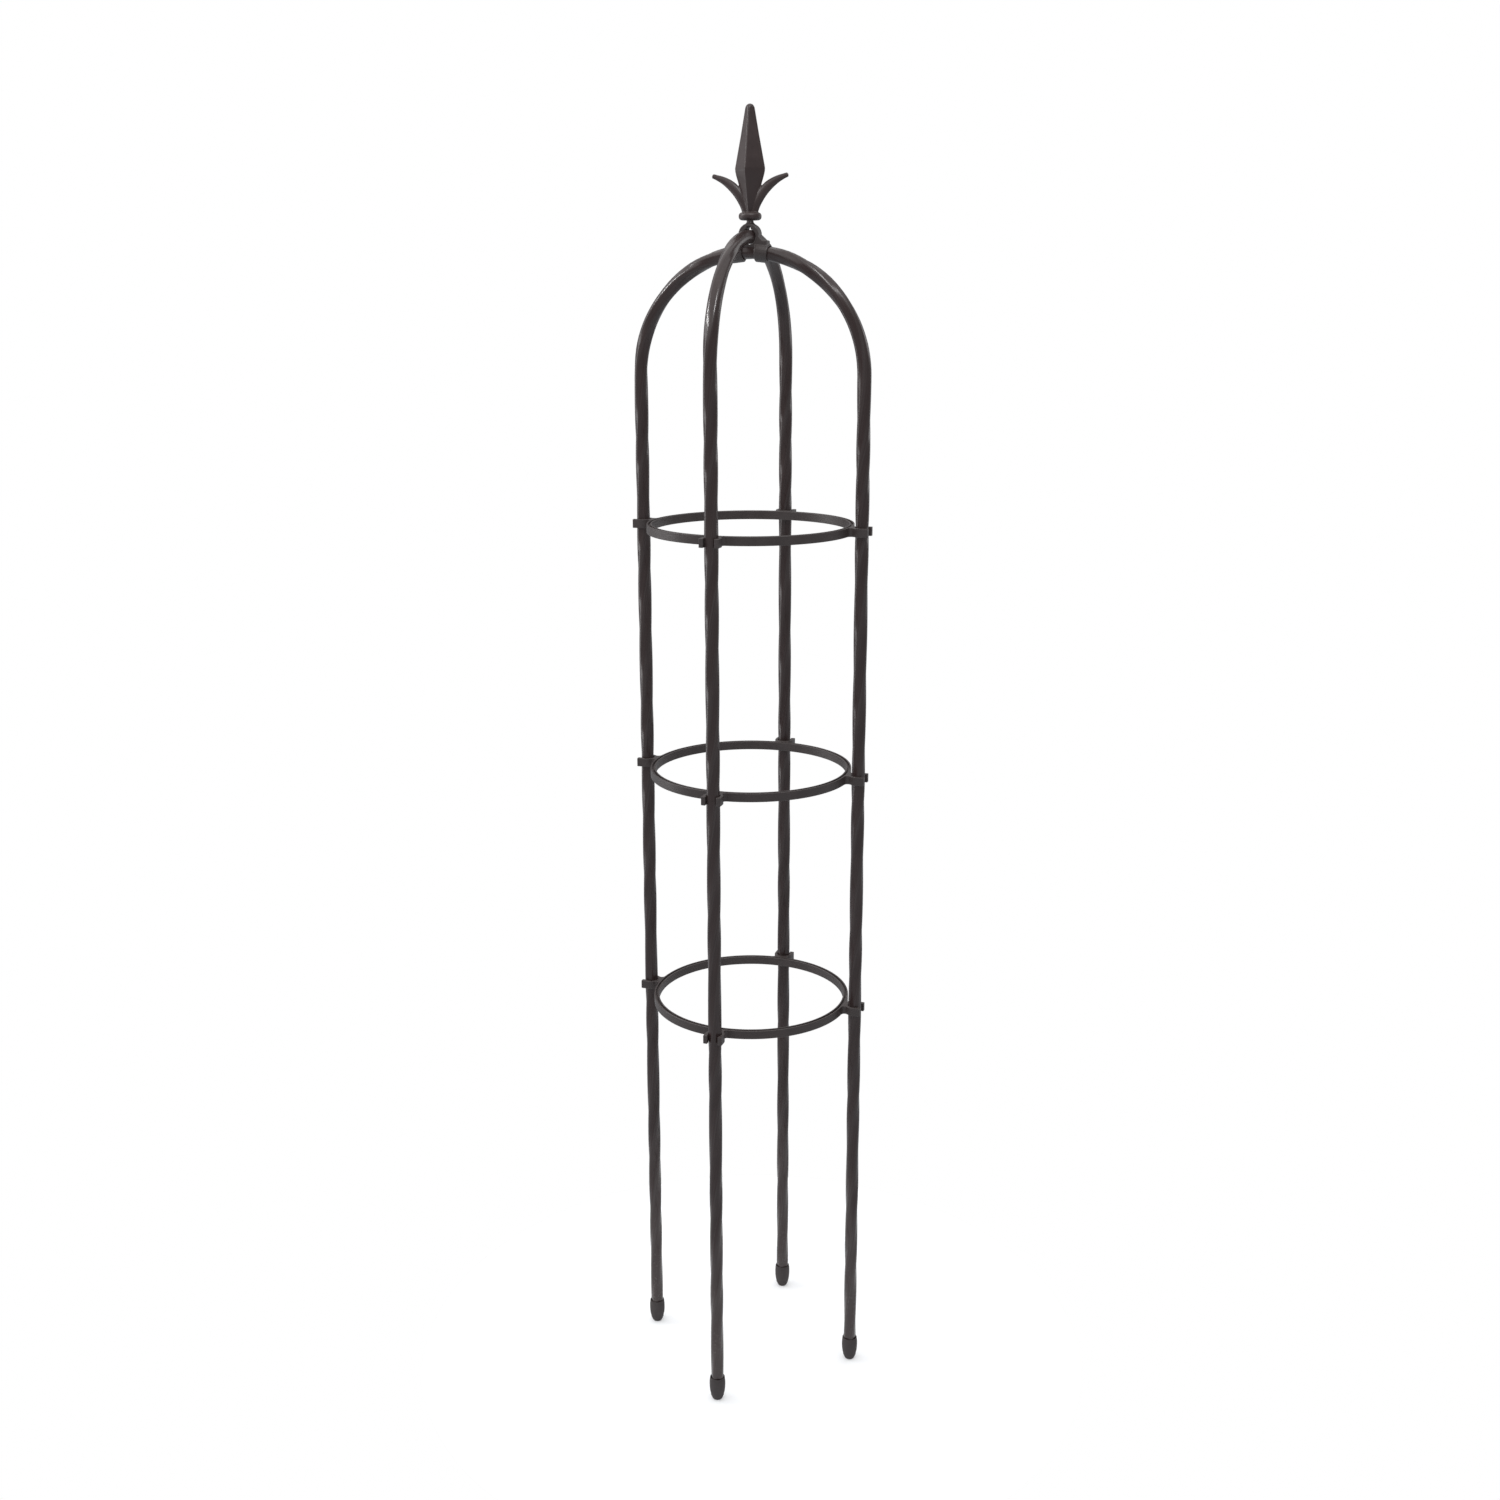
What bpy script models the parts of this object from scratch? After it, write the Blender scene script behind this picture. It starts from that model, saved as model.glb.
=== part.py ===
"""Garden obelisk: four poles under two crossing arches, tied by three rings of snap forks.

Metres, +Z up. The origin is on the ground at the middle of the four feet. The side arch and its
poles lie in the X-Z plane, and the front arch, which crosses over it, in the Y-Z plane.
"""

import math

import bmesh
import bpy
from mathutils import Matrix, Vector

# Driving sizes
FIT_GAP = 0.0003          # between pieces that touch
POLE_CIRCLE = 0.141       # obelisk's axis to each pole's axis
TUBE_RADIUS = 0.0083      # over the corners of the coated tube
TUBE_WALL = 0.0008
SIDE_CROWN = 1.4535       # height of the side arch's centre line at the crown
RING_LEVELS = {"bottom": 0.514, "middle": 0.822, "top": 1.130}
RING_OUTER = 0.1272
RING_THICKNESS = 0.0065
RING_HEIGHT = 0.0108
FINIAL_TIP = 1.6175
FINIAL_FOOT = 1.4890      # underside of the finial's collar

# Arches, and where each meets its legs
FRONT_CROWN = SIDE_CROWN + 2.0 * TUBE_RADIUS + FIT_GAP
JOINT_LEVEL = RING_LEVELS["middle"]
ARCH_STEPS = 24
TUBE_SIDES = 16

# Sleeves inside the joints
SLEEVE_RADIUS = TUBE_RADIUS - TUBE_WALL - 0.0006
SLEEVE_WALL = 0.0012
SLEEVE_LENGTH = 0.090

# End caps
CAP_HEIGHT = 0.032
CAP_FLOOR = 0.005
CAP_FACE_RADIUS = 0.0055
CAP_BELLY_RADIUS = 0.0104
CAP_RIM_RADIUS = 0.0096
CAP_BORE_RADIUS = TUBE_RADIUS + FIT_GAP
CAP_SIDES = 20

# Snap forks on the rings
FORK_BORE = TUBE_RADIUS + FIT_GAP
PRONG_THICKNESS = 0.0036
PRONG_REACH = 0.151       # obelisk's axis to the prongs' tips
MOUTH_HALF_WIDTH = 0.0068
NECK_FILLET = 0.004
GROOVE_WIDTH = 0.0027
GROOVE_DEPTH = 0.0030
RING_STEPS_PER_QUARTER = 16

# Crown bracket
CLIP_RADIUS = 0.0112
CLIP_INNER_END = 0.0075
CLIP_OUTER_END = 0.0235
CLIP_SLOT = 0.0100
YOKE_WALL = 0.0040
YOKE_DEPTH = 0.0140
YOKE_HEADROOM = 0.0026
YOKE_SHOULDER = 0.0130     # top of the lugs above the side arch's centre
WINDOW_GAP = 0.0005
WINDOW_NOTCH = 0.0022      # half the width of the notch over the front arch
STEM_RADIUS = 0.00405
STEM_INSERT = 0.0070

# Finial
COLLAR_RADIUS = 0.0134
COLLAR_HEIGHT = 0.0088
SPEAR_WIDE_LEVEL = 1.5475
SPEAR_WIDE_RADIUS = 0.0179
SPEAR_TIP_RADIUS = 0.0050
SPEAR_WAIST_RADIUS = 0.0060
LEAF_TIP_RADIUS = 0.0022
LEAF_ROOT_RADIUS = 0.0050

POLES = {"right": 0.0, "back": 90.0, "left": 180.0, "front": 270.0}


def clear_scene():
    for thing in list(bpy.data.objects):
        bpy.data.objects.remove(thing, do_unlink=True)


def new_collection(name, hidden=False):
    group = bpy.data.collections.new(name)
    bpy.context.scene.collection.children.link(group)
    group.hide_render = hidden
    return group


def new_material(name, color, roughness, metallic=0.0):
    material = bpy.data.materials.new(name)
    material.use_nodes = True
    shader = material.node_tree.nodes["Principled BSDF"]
    shader.inputs["Base Color"].default_value = (*color, 1.0)
    shader.inputs["Roughness"].default_value = roughness
    shader.inputs["Metallic"].default_value = metallic
    return material


def add_object(name, data, group, material=None):
    thing = bpy.data.objects.new(name, data)
    group.objects.link(thing)
    if material is not None:
        data.materials.clear()
        data.materials.append(material)
    return thing


def add_cutter(name, data):
    cutter = add_object(name, data, cutters)
    cutter.hide_render = True
    cutter.display_type = "WIRE"
    return cutter


def mesh_from(build, name):
    """Run build on a new bmesh and return the result as a mesh."""
    shape = bmesh.new()
    build(shape)
    mesh = bpy.data.meshes.new(name)
    shape.to_mesh(mesh)
    shape.free()
    return mesh


def smooth(mesh, angle=40.0):
    mesh.shade_smooth()
    mesh.set_sharp_from_angle(angle=math.radians(angle))


def frozen(thing):
    """Replace a curve, or an object with modifiers, by its evaluated mesh, welded."""
    bpy.context.view_layer.update()
    evaluated = thing.evaluated_get(bpy.context.evaluated_depsgraph_get())
    mesh = bpy.data.meshes.new_from_object(evaluated)
    place = thing.matrix_world.copy()
    bpy.data.objects.remove(thing, do_unlink=True)
    shape = bmesh.new()
    shape.from_mesh(mesh)
    shape.transform(place)
    bmesh.ops.remove_doubles(shape, verts=shape.verts, dist=1e-6)
    bmesh.ops.dissolve_degenerate(shape, edges=shape.edges, dist=1e-6)
    bmesh.ops.recalc_face_normals(shape, faces=shape.faces)
    shape.to_mesh(mesh)
    shape.free()
    return mesh


def boolean(thing, other, operation):
    step = thing.modifiers.new(operation.lower(), "BOOLEAN")
    step.object = other
    step.operation = operation
    step.solver = "EXACT"


def tube_curve(name, points, radius, resolution, radii=None):
    """A filled tube along the points, as a curve object in the cutters' collection."""
    curve = bpy.data.curves.new(name, "CURVE")
    curve.dimensions = "3D"
    curve.bevel_depth = radius
    curve.bevel_resolution = resolution
    curve.use_fill_caps = True
    spline = curve.splines.new("POLY")
    spline.points.add(len(points) - 1)
    for place, point in enumerate(points):
        spline.points[place].co = (*point, 1.0)
        spline.points[place].radius = 1.0 if radii is None else radii[place]
    return add_object(name, curve, cutters)


def outline_curve(name, outlines, half_thickness):
    """A flat outline, with holes, filled and thickened both ways."""
    curve = bpy.data.curves.new(name, "CURVE")
    curve.dimensions = "2D"
    curve.fill_mode = "BOTH"
    curve.extrude = half_thickness
    for outline in outlines:
        spline = curve.splines.new("POLY")
        spline.use_cyclic_u = True
        spline.points.add(len(outline) - 1)
        for place, (x, y) in enumerate(outline):
            spline.points[place].co = (x, y, 0.0, 1.0)
    return add_object(name, curve, cutters)


def turned(name, profile, sides, group):
    """Turn an open (radius, height) profile, listed top to bottom, about the Z axis."""
    def build(shape):
        row = [shape.verts.new((radius, 0.0, height)) for radius, height in profile]
        for first, second in zip(row, row[1:]):
            shape.edges.new((first, second))
    thing = add_object(name, mesh_from(build, name), group)
    screw = thing.modifiers.new("turn", "SCREW")
    screw.steps = sides
    screw.render_steps = sides
    screw.use_merge_vertices = True
    screw.merge_threshold = 0.00001
    return thing


def arc(centre, radius, start, end, steps):
    """Points from start to end, in degrees, on a circle in the plane."""
    points = []
    for step in range(steps + 1):
        angle = math.radians(start + (end - start) * step / steps)
        points.append((centre[0] + radius * math.cos(angle), centre[1] + radius * math.sin(angle)))
    return points


# Tubes


def arch_line(crown):
    """The arch's centre line in its own plane, from one lower end over the crown to the other."""
    foot = JOINT_LEVEL + FIT_GAP / 2.0
    bend = arc((0.0, crown - POLE_CIRCLE), POLE_CIRCLE, 180.0, 0.0, ARCH_STEPS)
    return [(-POLE_CIRCLE, foot)] + bend + [(POLE_CIRCLE, foot)]


def sweep_rings(shape, line, radius, sides, inward):
    """Rings of vertices around a line in the X-Z plane, joined into a wall."""
    rings = []
    for place, (x, z) in enumerate(line):
        ahead = Vector(line[min(place + 1, len(line) - 1)])
        behind = Vector(line[max(place - 1, 0)])
        along = (ahead - behind).normalized()
        side = Vector((-along.y, along.x))
        ring = []
        for turn in range(sides):
            angle = math.tau * turn / sides
            out = radius * math.cos(angle)
            place_y = radius * math.sin(angle)
            ring.append(shape.verts.new((x + side.x * out, place_y, z + side.y * out)))
        rings.append(ring)
    for low, high in zip(rings, rings[1:]):
        for turn in range(sides):
            corners = [low[turn], low[turn - 1], high[turn - 1], high[turn]]
            shape.faces.new(corners[::-1] if inward else corners)
    return rings


def hollow_tube_mesh(name, line):
    """A tube along a line in the X-Z plane, open at both ends."""
    def build(shape):
        outside = sweep_rings(shape, line, TUBE_RADIUS, TUBE_SIDES, False)
        inside = sweep_rings(shape, line, TUBE_RADIUS - TUBE_WALL, TUBE_SIDES, True)
        for outer, inner in ((outside[0], inside[0]), (outside[-1], inside[-1])):
            for turn in range(TUBE_SIDES):
                shape.faces.new([outer[turn - 1], outer[turn], inner[turn], inner[turn - 1]])
        bmesh.ops.recalc_face_normals(shape, faces=shape.faces)
    mesh = mesh_from(build, name)
    smooth(mesh)
    return mesh


def make_arches():
    for name, crown, turn in (("arch_side", SIDE_CROWN, 0.0), ("arch_front", FRONT_CROWN, 90.0)):
        mesh = hollow_tube_mesh(name, arch_line(crown))
        thing = add_object(name, mesh, parts, new_material(name, (0.042, 0.036, 0.034), 0.42))
        thing.rotation_euler.z = math.radians(turn)


def make_legs():
    line = [(0.0, CAP_FLOOR + FIT_GAP), (0.0, JOINT_LEVEL - FIT_GAP / 2.0)]
    mesh = hollow_tube_mesh("leg", line)
    mesh.materials.append(new_material("leg", (0.048, 0.042, 0.040), 0.45))
    for pole, heading in POLES.items():
        leg = add_object(f"leg_{pole}", mesh, parts)
        place_at_pole(leg, heading)


def place_at_pole(thing, heading):
    angle = math.radians(heading)
    thing.location = (POLE_CIRCLE * math.cos(angle), POLE_CIRCLE * math.sin(angle), 0.0)
    thing.rotation_euler.z = angle


def make_joint_sleeves():
    top = JOINT_LEVEL + SLEEVE_LENGTH / 2.0
    bottom = JOINT_LEVEL - SLEEVE_LENGTH / 2.0
    bore = SLEEVE_RADIUS - SLEEVE_WALL
    profile = [(bore, top), (SLEEVE_RADIUS, top), (SLEEVE_RADIUS, bottom), (bore, bottom), (bore, top)]
    mesh = frozen(turned("joint_sleeve", profile, TUBE_SIDES, cutters))
    mesh.materials.append(new_material("joint_sleeve", (0.35, 0.35, 0.34), 0.35, 1.0))
    smooth(mesh)
    for pole, heading in POLES.items():
        place_at_pole(add_object(f"joint_sleeve_{pole}", mesh, parts), heading)


# End caps


def cap_profile():
    """From the rim down the egg-shaped outside, across the flat foot, then up the bore."""
    return [
        (CAP_BORE_RADIUS, CAP_HEIGHT),
        (CAP_RIM_RADIUS, CAP_HEIGHT),
        (CAP_BELLY_RADIUS - 0.0002, CAP_HEIGHT * 0.84),
        (CAP_BELLY_RADIUS, CAP_HEIGHT * 0.64),
        (CAP_BELLY_RADIUS - 0.0005, CAP_HEIGHT * 0.42),
        (CAP_BELLY_RADIUS - 0.0018, CAP_HEIGHT * 0.20),
        (CAP_FACE_RADIUS + 0.0016, CAP_HEIGHT * 0.05),
        (CAP_FACE_RADIUS, 0.0),
        (0.0, 0.0),
        (0.0, CAP_FLOOR),
        (CAP_BORE_RADIUS, CAP_FLOOR),
        (CAP_BORE_RADIUS, CAP_HEIGHT),
    ]


def make_end_caps():
    mesh = frozen(turned("end_cap", cap_profile(), CAP_SIDES, cutters))
    mesh.materials.append(new_material("end_cap", (0.040, 0.037, 0.036), 0.75))
    smooth(mesh)
    for pole, heading in POLES.items():
        place_at_pole(add_object(f"end_cap_{pole}", mesh, parts), heading)


# Rings


def fork_outline():
    """Half of a fork, u outwards and v across, from the ring's edge to the seat's middle."""
    face = FORK_BORE + PRONG_THICKNESS
    to_axis = RING_OUTER + NECK_FILLET
    to_pole = face + NECK_FILLET
    fillet_u = (to_axis ** 2 - to_pole ** 2 + POLE_CIRCLE ** 2) / (2.0 * POLE_CIRCLE)
    fillet_v = math.sqrt(to_axis ** 2 - fillet_u ** 2)
    at_ring = math.degrees(math.atan2(fillet_v, fillet_u))
    at_fork = math.degrees(math.atan2(fillet_v, fillet_u - POLE_CIRCLE))
    neck = arc((fillet_u, fillet_v), NECK_FILLET, 180.0 + at_ring, 180.0 + at_fork, 4)
    back = arc((POLE_CIRCLE, 0.0), face, at_fork, 90.0, 2)
    tip = [
        (PRONG_REACH - 0.0009, face),
        (PRONG_REACH, face - 0.0009),
        (PRONG_REACH, MOUTH_HALF_WIDTH + 0.0006),
        (PRONG_REACH - 0.0006, MOUTH_HALF_WIDTH),
    ]
    mouth = math.degrees(math.asin(MOUTH_HALF_WIDTH / FORK_BORE))
    seat = arc((POLE_CIRCLE, 0.0), FORK_BORE, mouth, 180.0, 7)
    return neck + back[1:] + tip + seat


def turned_points(points, heading):
    cosine = math.cos(math.radians(heading))
    sine = math.sin(math.radians(heading))
    return [(x * cosine - y * sine, x * sine + y * cosine) for x, y in points]


def ring_outline():
    half = fork_outline()
    edge = math.degrees(math.atan2(half[0][1], half[0][0]))
    mirrored = [(u, -v) for u, v in half]
    quarter = mirrored + half[-2::-1] + arc((0.0, 0.0), RING_OUTER, edge, 90.0 - edge,
                                            RING_STEPS_PER_QUARTER)[1:-1]
    outline = []
    for heading in POLES.values():
        outline += turned_points(quarter, heading)
    return outline


def groove_mesh():
    """An annular cutter that sinks the groove into the ring's upper face."""
    middle = RING_OUTER - RING_THICKNESS / 2.0
    inner = middle - GROOVE_WIDTH / 2.0
    outer = middle + GROOVE_WIDTH / 2.0
    floor = RING_HEIGHT / 2.0 - GROOVE_DEPTH
    top = RING_HEIGHT
    profile = [(inner, top), (outer, top), (outer, floor), (inner, floor), (inner, top)]
    return frozen(turned("groove", profile, 4 * RING_STEPS_PER_QUARTER, cutters))


def make_rings():
    inner = arc((0.0, 0.0), RING_OUTER - RING_THICKNESS, 0.0, 360.0, 4 * RING_STEPS_PER_QUARTER)[:-1]
    blank = frozen(outline_curve("ring_blank", [ring_outline(), inner], RING_HEIGHT / 2.0))
    groove = add_cutter("ring_groove", groove_mesh())
    body = add_object("ring_body", blank, cutters)
    boolean(body, groove, "DIFFERENCE")
    mesh = frozen(body)
    mesh.materials.append(new_material("ring", (0.050, 0.046, 0.044), 0.55))
    for level, height in RING_LEVELS.items():
        ring = add_object(f"ring_{level}", mesh, parts)
        ring.location.z = height


# Crown bracket


def clip_sleeve(low, high):
    """A clip before it is bored: a stretch of a fat tube along the side arch's crown."""
    centre = (0.0, SIDE_CROWN - POLE_CIRCLE)
    start = math.degrees(math.acos(low / POLE_CIRCLE))
    end = math.degrees(math.acos(high / POLE_CIRCLE))
    points = [(x, 0.0, z) for x, z in arc(centre, POLE_CIRCLE, start, end, 3)]
    return frozen(tube_curve("clip_sleeve", points, CLIP_RADIUS, 4))


def clip_bore():
    """The side arch's own middle stretch, thickened by the fitting gap."""
    middle = len(arch_line(SIDE_CROWN)) // 2
    stretch = arch_line(SIDE_CROWN)[middle - 2:middle + 3]
    points = [(x, 0.0, z) for x, z in stretch]
    return frozen(tube_curve("clip_bore", points, TUBE_RADIUS + FIT_GAP, 4))


def yoke_outline():
    """The yoke's outline in the X-Z plane: a lug over each clip and a round top."""
    outer = TUBE_RADIUS + FIT_GAP + YOKE_WALL
    bend = FRONT_CROWN + YOKE_HEADROOM
    foot = SIDE_CROWN
    lug = foot + YOKE_SHOULDER
    right = [
        (CLIP_OUTER_END - 0.0010, foot),
        (CLIP_OUTER_END - 0.0010, lug - 0.0018),
        (CLIP_OUTER_END - 0.0028, lug),
        (outer + 0.0046, lug),
        (outer + 0.0003, lug + 0.0044),
    ]
    over = arc((0.0, bend), outer, 0.0, 180.0, 12)
    left = [(-x, z) for x, z in reversed(right)]
    return right + over + left


def window_outline():
    """The hole for the front arch, with a notch at its top."""
    bore = TUBE_RADIUS + WINDOW_GAP
    top = FRONT_CROWN + bore + YOKE_HEADROOM
    notch = [(WINDOW_NOTCH, top), (-WINDOW_NOTCH, top)]
    return arc((0.0, FRONT_CROWN), bore, 110.0, 430.0, 18) + notch


def standing_mesh(mesh):
    """Stand a mesh drawn flat, with x across and y up, in the X-Z plane."""
    mesh.transform(Matrix.Rotation(math.radians(90.0), 4, "X"))
    return mesh


def make_crown_bracket():
    yoke = standing_mesh(frozen(outline_curve("yoke", [yoke_outline(), window_outline()], YOKE_DEPTH / 2.0)))
    bracket = add_object("crown_bracket", yoke, parts)
    for side in (-1.0, 1.0):
        clip = add_cutter("clip", clip_sleeve(side * CLIP_INNER_END, side * CLIP_OUTER_END))
        boolean(bracket, clip, "UNION")
    stem_base = FRONT_CROWN + YOKE_HEADROOM + TUBE_RADIUS + YOKE_WALL / 2.0
    stem_top = FINIAL_FOOT + STEM_INSERT
    profile = [(0.0, stem_top), (STEM_RADIUS - 0.0005, stem_top), (STEM_RADIUS, stem_top - 0.0005),
               (STEM_RADIUS, stem_base + 0.0018), (STEM_RADIUS + 0.0012, stem_base), (0.0, stem_base)]
    stem = add_cutter("stem", frozen(turned("stem_profile", profile, 20, cutters)))
    boolean(bracket, stem, "UNION")
    boolean(bracket, add_cutter("tube_bore", clip_bore()), "DIFFERENCE")
    boolean(bracket, add_cutter("clip_slot", slot_mesh()), "DIFFERENCE")
    mesh = frozen(bracket)
    smooth(mesh, 35.0)
    add_object("crown_bracket", mesh, parts, new_material("crown_bracket", (0.046, 0.042, 0.040), 0.5))


def slot_mesh():
    """A box that opens the clips at the back, where they snap over the tube."""
    def build(shape):
        size = Vector((3.0 * CLIP_OUTER_END, 2.0 * CLIP_RADIUS, CLIP_SLOT))
        place = Vector((0.0, CLIP_RADIUS + 0.0035, SIDE_CROWN - 0.0012))
        matrix = Matrix.Translation(place) @ Matrix.Diagonal(size.to_4d())
        bmesh.ops.create_cube(shape, size=1.0, matrix=matrix)
    return mesh_from(build, "clip_slot")


# Finial


def spear_profile():
    """Corner radius and height of the four-sided spear, from the tip down to its waist."""
    tip = []
    for turn in (90.0, 60.0, 30.0):
        angle = math.radians(turn)
        drop = SPEAR_TIP_RADIUS * (1.0 - math.sin(angle))
        tip.append((SPEAR_TIP_RADIUS * math.cos(angle), FINIAL_TIP - drop))
    return tip + [
        (SPEAR_TIP_RADIUS + 0.0006, FINIAL_TIP - SPEAR_TIP_RADIUS),
        (SPEAR_WIDE_RADIUS - 0.0003, SPEAR_WIDE_LEVEL + 0.0015),
        (SPEAR_WIDE_RADIUS, SPEAR_WIDE_LEVEL - 0.0010),
        (SPEAR_WIDE_RADIUS - 0.0008, SPEAR_WIDE_LEVEL - 0.0055),
        (SPEAR_WAIST_RADIUS, FINIAL_FOOT + COLLAR_HEIGHT),
        (0.0, FINIAL_FOOT + COLLAR_HEIGHT / 2.0),
    ]


def collar_profile():
    rim = COLLAR_HEIGHT / 2.0
    middle = (COLLAR_RADIUS - rim, FINIAL_FOOT + rim)
    return [(0.0, FINIAL_FOOT + COLLAR_HEIGHT)] + arc(middle, rim, 90.0, -90.0, 6) + [(0.0, FINIAL_FOOT)]


def leaf_mesh(side):
    """A curled leaf: a tapered bar that rises from the waist and bends outwards."""
    foot = FINIAL_FOOT + COLLAR_HEIGHT
    centre_line = [(0.0042, foot - 0.003), (0.0059, foot + 0.005), (0.0092, foot + 0.0124),
                   (0.0157, foot + 0.0225), (0.0239, foot + 0.0305), (0.0333, foot + 0.0362),
                   (0.0450, foot + 0.0405)]
    radii = [0.92, 1.0, 1.04, 1.06, 0.98, 0.75, LEAF_TIP_RADIUS / LEAF_ROOT_RADIUS]
    points = [(side * x, 0.0, z) for x, z in centre_line]
    return frozen(tube_curve("leaf", points, LEAF_ROOT_RADIUS, 2, radii))


def make_finial():
    spear = frozen(turned("spear", spear_profile(), 4, cutters))
    finial = add_object("finial_body", spear, cutters)
    collar = frozen(turned("collar_profile", collar_profile(), 24, cutters))
    boolean(finial, add_cutter("collar", collar), "UNION")
    for side in (-1.0, 1.0):
        boolean(finial, add_cutter("leaf_bar", leaf_mesh(side)), "UNION")
    bore = STEM_RADIUS + FIT_GAP
    depth = FINIAL_FOOT + STEM_INSERT + FIT_GAP
    mouth = FINIAL_FOOT - 0.002
    profile = [(0.0, depth), (bore, depth), (bore, mouth), (0.0, mouth)]
    socket = frozen(turned("socket_profile", profile, 20, cutters))
    boolean(finial, add_cutter("socket", socket), "DIFFERENCE")
    mesh = frozen(finial)
    smooth(mesh, 35.0)
    add_object("finial", mesh, parts, new_material("finial", (0.042, 0.037, 0.035), 0.45))


clear_scene()
parts = new_collection("garden_obelisk")
cutters = new_collection("cutters", hidden=True)
make_arches()
make_legs()
make_joint_sleeves()
make_end_caps()
make_rings()
make_crown_bracket()
make_finial()
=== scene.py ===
"""Garden obelisk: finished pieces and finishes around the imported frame.

Laid out as an add-on and run as a script. Metres, +Z up, in the frame's own place: the origin is on
the ground at the middle of the four feet, the front pole stands at -Y and the right pole at +X.
"""

import math

import bmesh
import bpy
from bpy.props import FloatProperty, FloatVectorProperty, IntProperty, PointerProperty
from mathutils import Matrix, Vector


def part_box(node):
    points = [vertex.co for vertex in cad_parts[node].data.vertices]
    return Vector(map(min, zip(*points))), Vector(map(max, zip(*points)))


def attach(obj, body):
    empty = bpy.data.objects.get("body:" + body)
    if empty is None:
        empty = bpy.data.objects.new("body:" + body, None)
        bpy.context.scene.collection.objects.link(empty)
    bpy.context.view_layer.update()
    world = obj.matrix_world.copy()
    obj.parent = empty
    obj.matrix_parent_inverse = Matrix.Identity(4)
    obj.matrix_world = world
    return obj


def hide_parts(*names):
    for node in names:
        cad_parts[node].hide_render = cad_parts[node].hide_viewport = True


bl_info = {
    "name": "Garden Obelisk",
    "version": (1, 0, 0),
    "blender": (4, 5, 0),
    "location": "3D View > Sidebar > Obelisk",
    "description": "Builds a garden obelisk of twisted coated tubes, clip rings and a spear finial",
    "category": "Add Mesh",
}

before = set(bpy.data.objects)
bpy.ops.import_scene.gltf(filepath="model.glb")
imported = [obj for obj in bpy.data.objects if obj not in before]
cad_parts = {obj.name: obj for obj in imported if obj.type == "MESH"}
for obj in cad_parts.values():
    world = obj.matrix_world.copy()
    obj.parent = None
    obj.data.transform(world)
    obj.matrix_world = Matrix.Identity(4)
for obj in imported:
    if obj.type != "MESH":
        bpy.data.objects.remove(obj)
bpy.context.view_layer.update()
BODY = "root"

# Places that the frame gives
SIDE_LOW, SIDE_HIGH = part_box("arch_side")
TUBE_RADIUS = SIDE_HIGH.y
POLE_CIRCLE = SIDE_HIGH.x - TUBE_RADIUS
SIDE_CROWN = SIDE_HIGH.z - TUBE_RADIUS
FRONT_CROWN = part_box("arch_front")[1].z - TUBE_RADIUS
JOINT_LEVEL = SIDE_LOW.z
LEG_LOW, LEG_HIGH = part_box("leg_right")
RING_LOW, RING_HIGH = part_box("ring_bottom")
CAP_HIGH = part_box("end_cap_right")[1]
FINIAL_LOW, FINIAL_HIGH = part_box("finial")
STEM_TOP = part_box("crown_bracket")[1].z

POLES = {"right": 0.0, "back": 90.0, "left": 180.0, "front": 270.0}
RING_NAMES = ("bottom", "middle", "top")
FIT_GAP = 0.0003
UPRIGHT = Matrix.Rotation(math.radians(90.0), 4, "X")

# Tubes
RUN_ATTRIBUTE = "coat_run"
CORNER_STEPS = 7
ARCH_POINTS = 48
WANDER_SPAN = 0.19        # length over which the twist speeds up and slows down

# Rings
RING_SIDES = 192
ROOT_OVERLAP = 0.0011     # how far a fork's root reaches into the band
NECK_FILLET = 0.004
MOUTH_HALF_WIDTH = 0.0068
PRONG_TIP_ROUND = 0.0008
MOUTH_ROUND = 0.0006
GROOVE_DRAFT = 0.0002
GROOVE_LIP_ROUND = 0.00035
GROOVE_BED_ROUND = 0.0005

# Crown bracket
CLIP_INNER_END = 0.0075
CLIP_OUTER_END = 0.0235
CLIP_SLOT = 0.0100
CLIP_WRAP = 0.0035        # how far behind the tube's centre the slot begins
CLIP_SLOT_DROP = 0.0012   # from the side arch's crown to the slot's middle
YOKE_HEADROOM = 0.0026
YOKE_SHOULDER = 0.0130    # top of the lugs above the side arch's centre
WINDOW_GAP = 0.0005
WINDOW_NOTCH = 0.0022     # half the width of the notch over the front arch
NOTCH_ROUND = 0.0007
LUG_INSET = 0.0010        # how far the lugs end short of the clips
LUG_ROUND = 0.0016
WAIST_WIDTH = 0.0046      # how far the lugs' tops stand out from the yoke's limbs
WAIST_RISE = 0.0050
WAIST_ROUND = 0.0020
LIMB_ROUND = 0.0030
STEM_RADIUS = 0.00405
STEM_CHAMFER = 0.0006
STEM_FLARE = 0.0028
STEM_FLARE_RISE = 0.0044
STEM_FOOT = 0.0024        # how far the stem's foot stands out from the stem
STEM_INSERT = 0.0070

# Finial
SPEAR_EDGE_ROUND = 0.0013
LEAF_STATIONS = 36
LEAF_SIDES = 20
LEAF_SQUARENESS = 1.12    # 1 is an oval section, 2 a diamond
LEAF_DEPTH = 0.62         # of the section, front to back, over its width
LEAF_END = 0.60           # length of the rounded end over the section's half thickness
LEAF_TIP = 0.62           # and of the point that closes it

# Foot caps
CAP_EDGE = 0.0003
CAP_BORE_ROUND = 0.0006
CAP_MOUTH_BEVEL = 0.0007

# Blends between the parts of one moulding
BLEND_VOXEL = 0.00045
BLEND_STEPS = 5

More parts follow.
